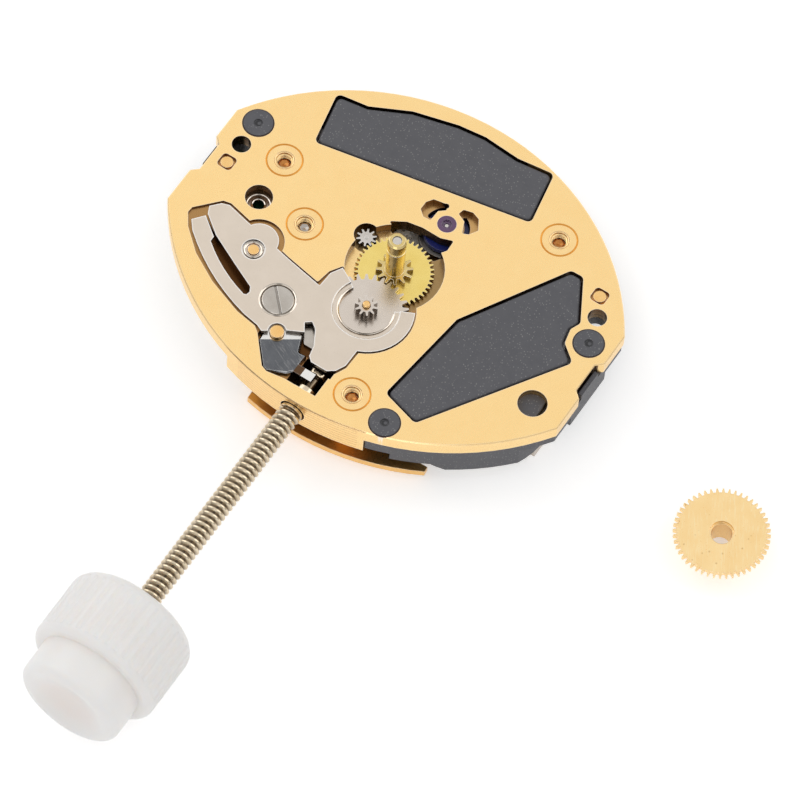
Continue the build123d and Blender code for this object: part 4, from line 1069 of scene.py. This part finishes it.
towards_middle = add_node(
    tree, "ShaderNodeMapRange", off_stem(milky_plastic), dish_reach, dish_reach / 2, 0.0, 1.0
).outputs[0]
dished = both(milky_plastic, towards_middle, beyond(milky_plastic, "X", boss_start))
stain(milky_plastic, dished, dish_pink, 0.6)
coat(milky_plastic, "crown")

# ---------------------------------------------------------------------------
# Hour wheel: brass wheel and pipe in one, lying loose on the table on its
# pipe; its face is matt from the press and has small scratches and stains.
# ---------------------------------------------------------------------------
hour_bright = (255, 226, 170)
hour_deep = (246, 208, 144)
# size, share, colour and strength of its stains
hour_specks = ((0.16, 0.20, (170, 112, 50), 0.45), (0.40, 0.12, (176, 120, 60), 0.35))
hour_scratch = (255, 244, 206)
scratch_size = 0.10 * mm
scratch_turn = radians(60)
hour_brass = watch_finish(
    "hour_brass", hour_bright, hour_deep, rough=0.33, metallic=1.0,
    grain=0.05 * mm, grain_deep=0.8 * um,
    corner=0.03 * mm, painted_corner_highlight=0.4,
)
tree = hour_brass.node_tree
for size, share, colour, strength in hour_specks:
    specks = put_group(tree, speck_group, size * mm, share)["Mask"]
    stain(hour_brass, specks, colour, strength)
scratches = put_group(tree, scratch_group, scratch_size, scratch_turn, 0.02)["Mask"]
stain(hour_brass, scratches, hour_scratch, 0.4)
coat(hour_brass, "hour_wheel")

# ---------------------------------------------------------------------------
# Back plates: the gold train bridge, the nickel circuit cover over the coil
# and circuit, the clamp under the cell, and the contact ring, whose rolled
# rim and eye are seen down the hole beside 6 o'clock.
# ---------------------------------------------------------------------------
bridge_bright = (250, 208, 138)
bridge_deep = (232, 180, 102)
back_bright = (206, 196, 186)
back_deep = (184, 172, 160)
contact_bright = (226, 214, 200)
contact_deep = (196, 180, 164)
contact_place = (0.33, -5.99)
contact_reach = 0.54
contact_level = -0.62
contact_rim_radius = 0.47
contact_rim_wire = 0.05
contact_eye_radius = 0.26
contact_eye_wire = 0.05
contact_hole_shade = (112, 84, 58)
gold_back = watch_finish(
    "gold_back", bridge_bright, bridge_deep, rough=0.32, metallic=1.0,
    grain=0.05 * mm, grain_deep=0.5 * um,
    corner=0.05 * mm, painted_corner_highlight=0.35,
)
coat(gold_back, "train_bridge")
nickel_back = watch_finish(
    "nickel_back", back_bright, back_deep, rough=0.32, metallic=1.0,
    grain=0.06 * mm, grain_deep=0.5 * um,
    corner=0.04 * mm, painted_corner_highlight=0.5, along=(1.0, 8.0, 1.0),
)
coat(nickel_back, "circuit_cover", "cell_clamp")
contact_nickel = watch_finish(
    "contact_nickel", contact_bright, contact_deep, rough=0.22, metallic=1.0,
    grain=0.05 * mm, grain_deep=0.4 * um,
    corner=0.04 * mm, painted_corner_highlight=0.6,
)
# painted shade on the floor down the contact hole
in_hole = near_axis(contact_nickel, contact_place, contact_reach)
stain(contact_nickel, in_hole, contact_hole_shade, 0.6)
coat(contact_nickel, "contact_ring")
contact_rims = bmesh.new()
ring(contact_rims, contact_place, contact_rim_radius, contact_rim_wire, contact_level)
ring(contact_rims, contact_place, contact_eye_radius, contact_eye_wire, contact_level)
mesh_piece("contact_rims", contact_rims, "plate", rolled_nickel)

# ---------------------------------------------------------------------------
# Motor: soft iron core and stator, and the coil of fine lacquered copper wire
# whose turns show as close rings.
# ---------------------------------------------------------------------------
iron_bright = (150, 146, 142)
iron_deep = (118, 112, 106)
copper_bright = (176, 92, 54)
copper_deep = (138, 62, 34)
coil_turn = radians(10.8)
wire_pitch = 0.06 * mm
wire_gap_crest = 0.4
wire_gap_stain = ((92, 38, 20), 0.6)
soft_iron = watch_finish(
    "soft_iron", iron_bright, iron_deep, rough=0.36, metallic=1.0,
    grain=0.05 * mm, grain_deep=0.6 * um,
    corner=0.03 * mm, painted_corner_highlight=0.3,
)
coat(soft_iron, "coil_core", "stator")
copper_wire = watch_finish(
    "lacquered_copper", copper_bright, copper_deep, rough=0.26, metallic=0.9,
    grain=0.04 * mm, grain_deep=0.6 * um,
)
tree = copper_wire.node_tree
where = place_of(copper_wire)
up_coil = maths(tree, "MULTIPLY", where["Y"], cos(coil_turn))
over_coil = maths(tree, "MULTIPLY", where["X"], -sin(coil_turn))
along_coil = maths(tree, "ADD", up_coil, over_coil)
turns = maths(tree, "SINE", maths(tree, "MULTIPLY", along_coil, 2 * pi / wire_pitch))
stain(copper_wire, maths(tree, "GREATER_THAN", turns, wire_gap_crest), *wire_gap_stain)
coat(copper_wire, "coil_winding")

# ---------------------------------------------------------------------------
# Circuit: thin green board under the frame, the chip under its resin, the
# crystal in its tin-plated can.
# ---------------------------------------------------------------------------
board_bright = (38, 92, 58)
board_deep = (28, 74, 46)
resin_black = (34, 33, 34)
resin_deep = (24, 23, 24)
can_bright = (196, 194, 190)
can_deep = (170, 166, 160)
board_green = watch_finish(
    "board_lacquer", board_bright, board_deep, rough=0.30, metallic=0.0,
    grain=0.08 * mm, grain_deep=1.0 * um,
    corner=0.02 * mm,
)
coat(board_green, "circuit_board")
chip_resin = watch_finish(
    "chip_resin", resin_black, resin_deep, rough=0.34, metallic=0.0,
    grain=0.10 * mm, grain_deep=3.0 * um,
    corner=0.08 * mm,
)
coat(chip_resin, "chip")
can_metal = watch_finish(
    "can_metal", can_bright, can_deep, rough=0.24, metallic=1.0,
    grain=0.06 * mm, grain_deep=0.5 * um,
    corner=0.05 * mm, painted_corner_highlight=0.4,
)
coat(can_metal, "quartz_crystal")

# ---------------------------------------------------------------------------
# Button cell: nickel-plated steel can, plain, lying under the plastic lid
# and held from below by its clamp.
# ---------------------------------------------------------------------------
cell_bright = (206, 202, 196)
cell_deep = (186, 180, 172)
cell_steel = watch_finish(
    "cell_steel", cell_bright, cell_deep, rough=0.22, metallic=1.0,
    grain=0.08 * mm, grain_deep=0.4 * um,
    corner=0.06 * mm, painted_corner_highlight=0.5,
)
coat(cell_steel, "button_cell")
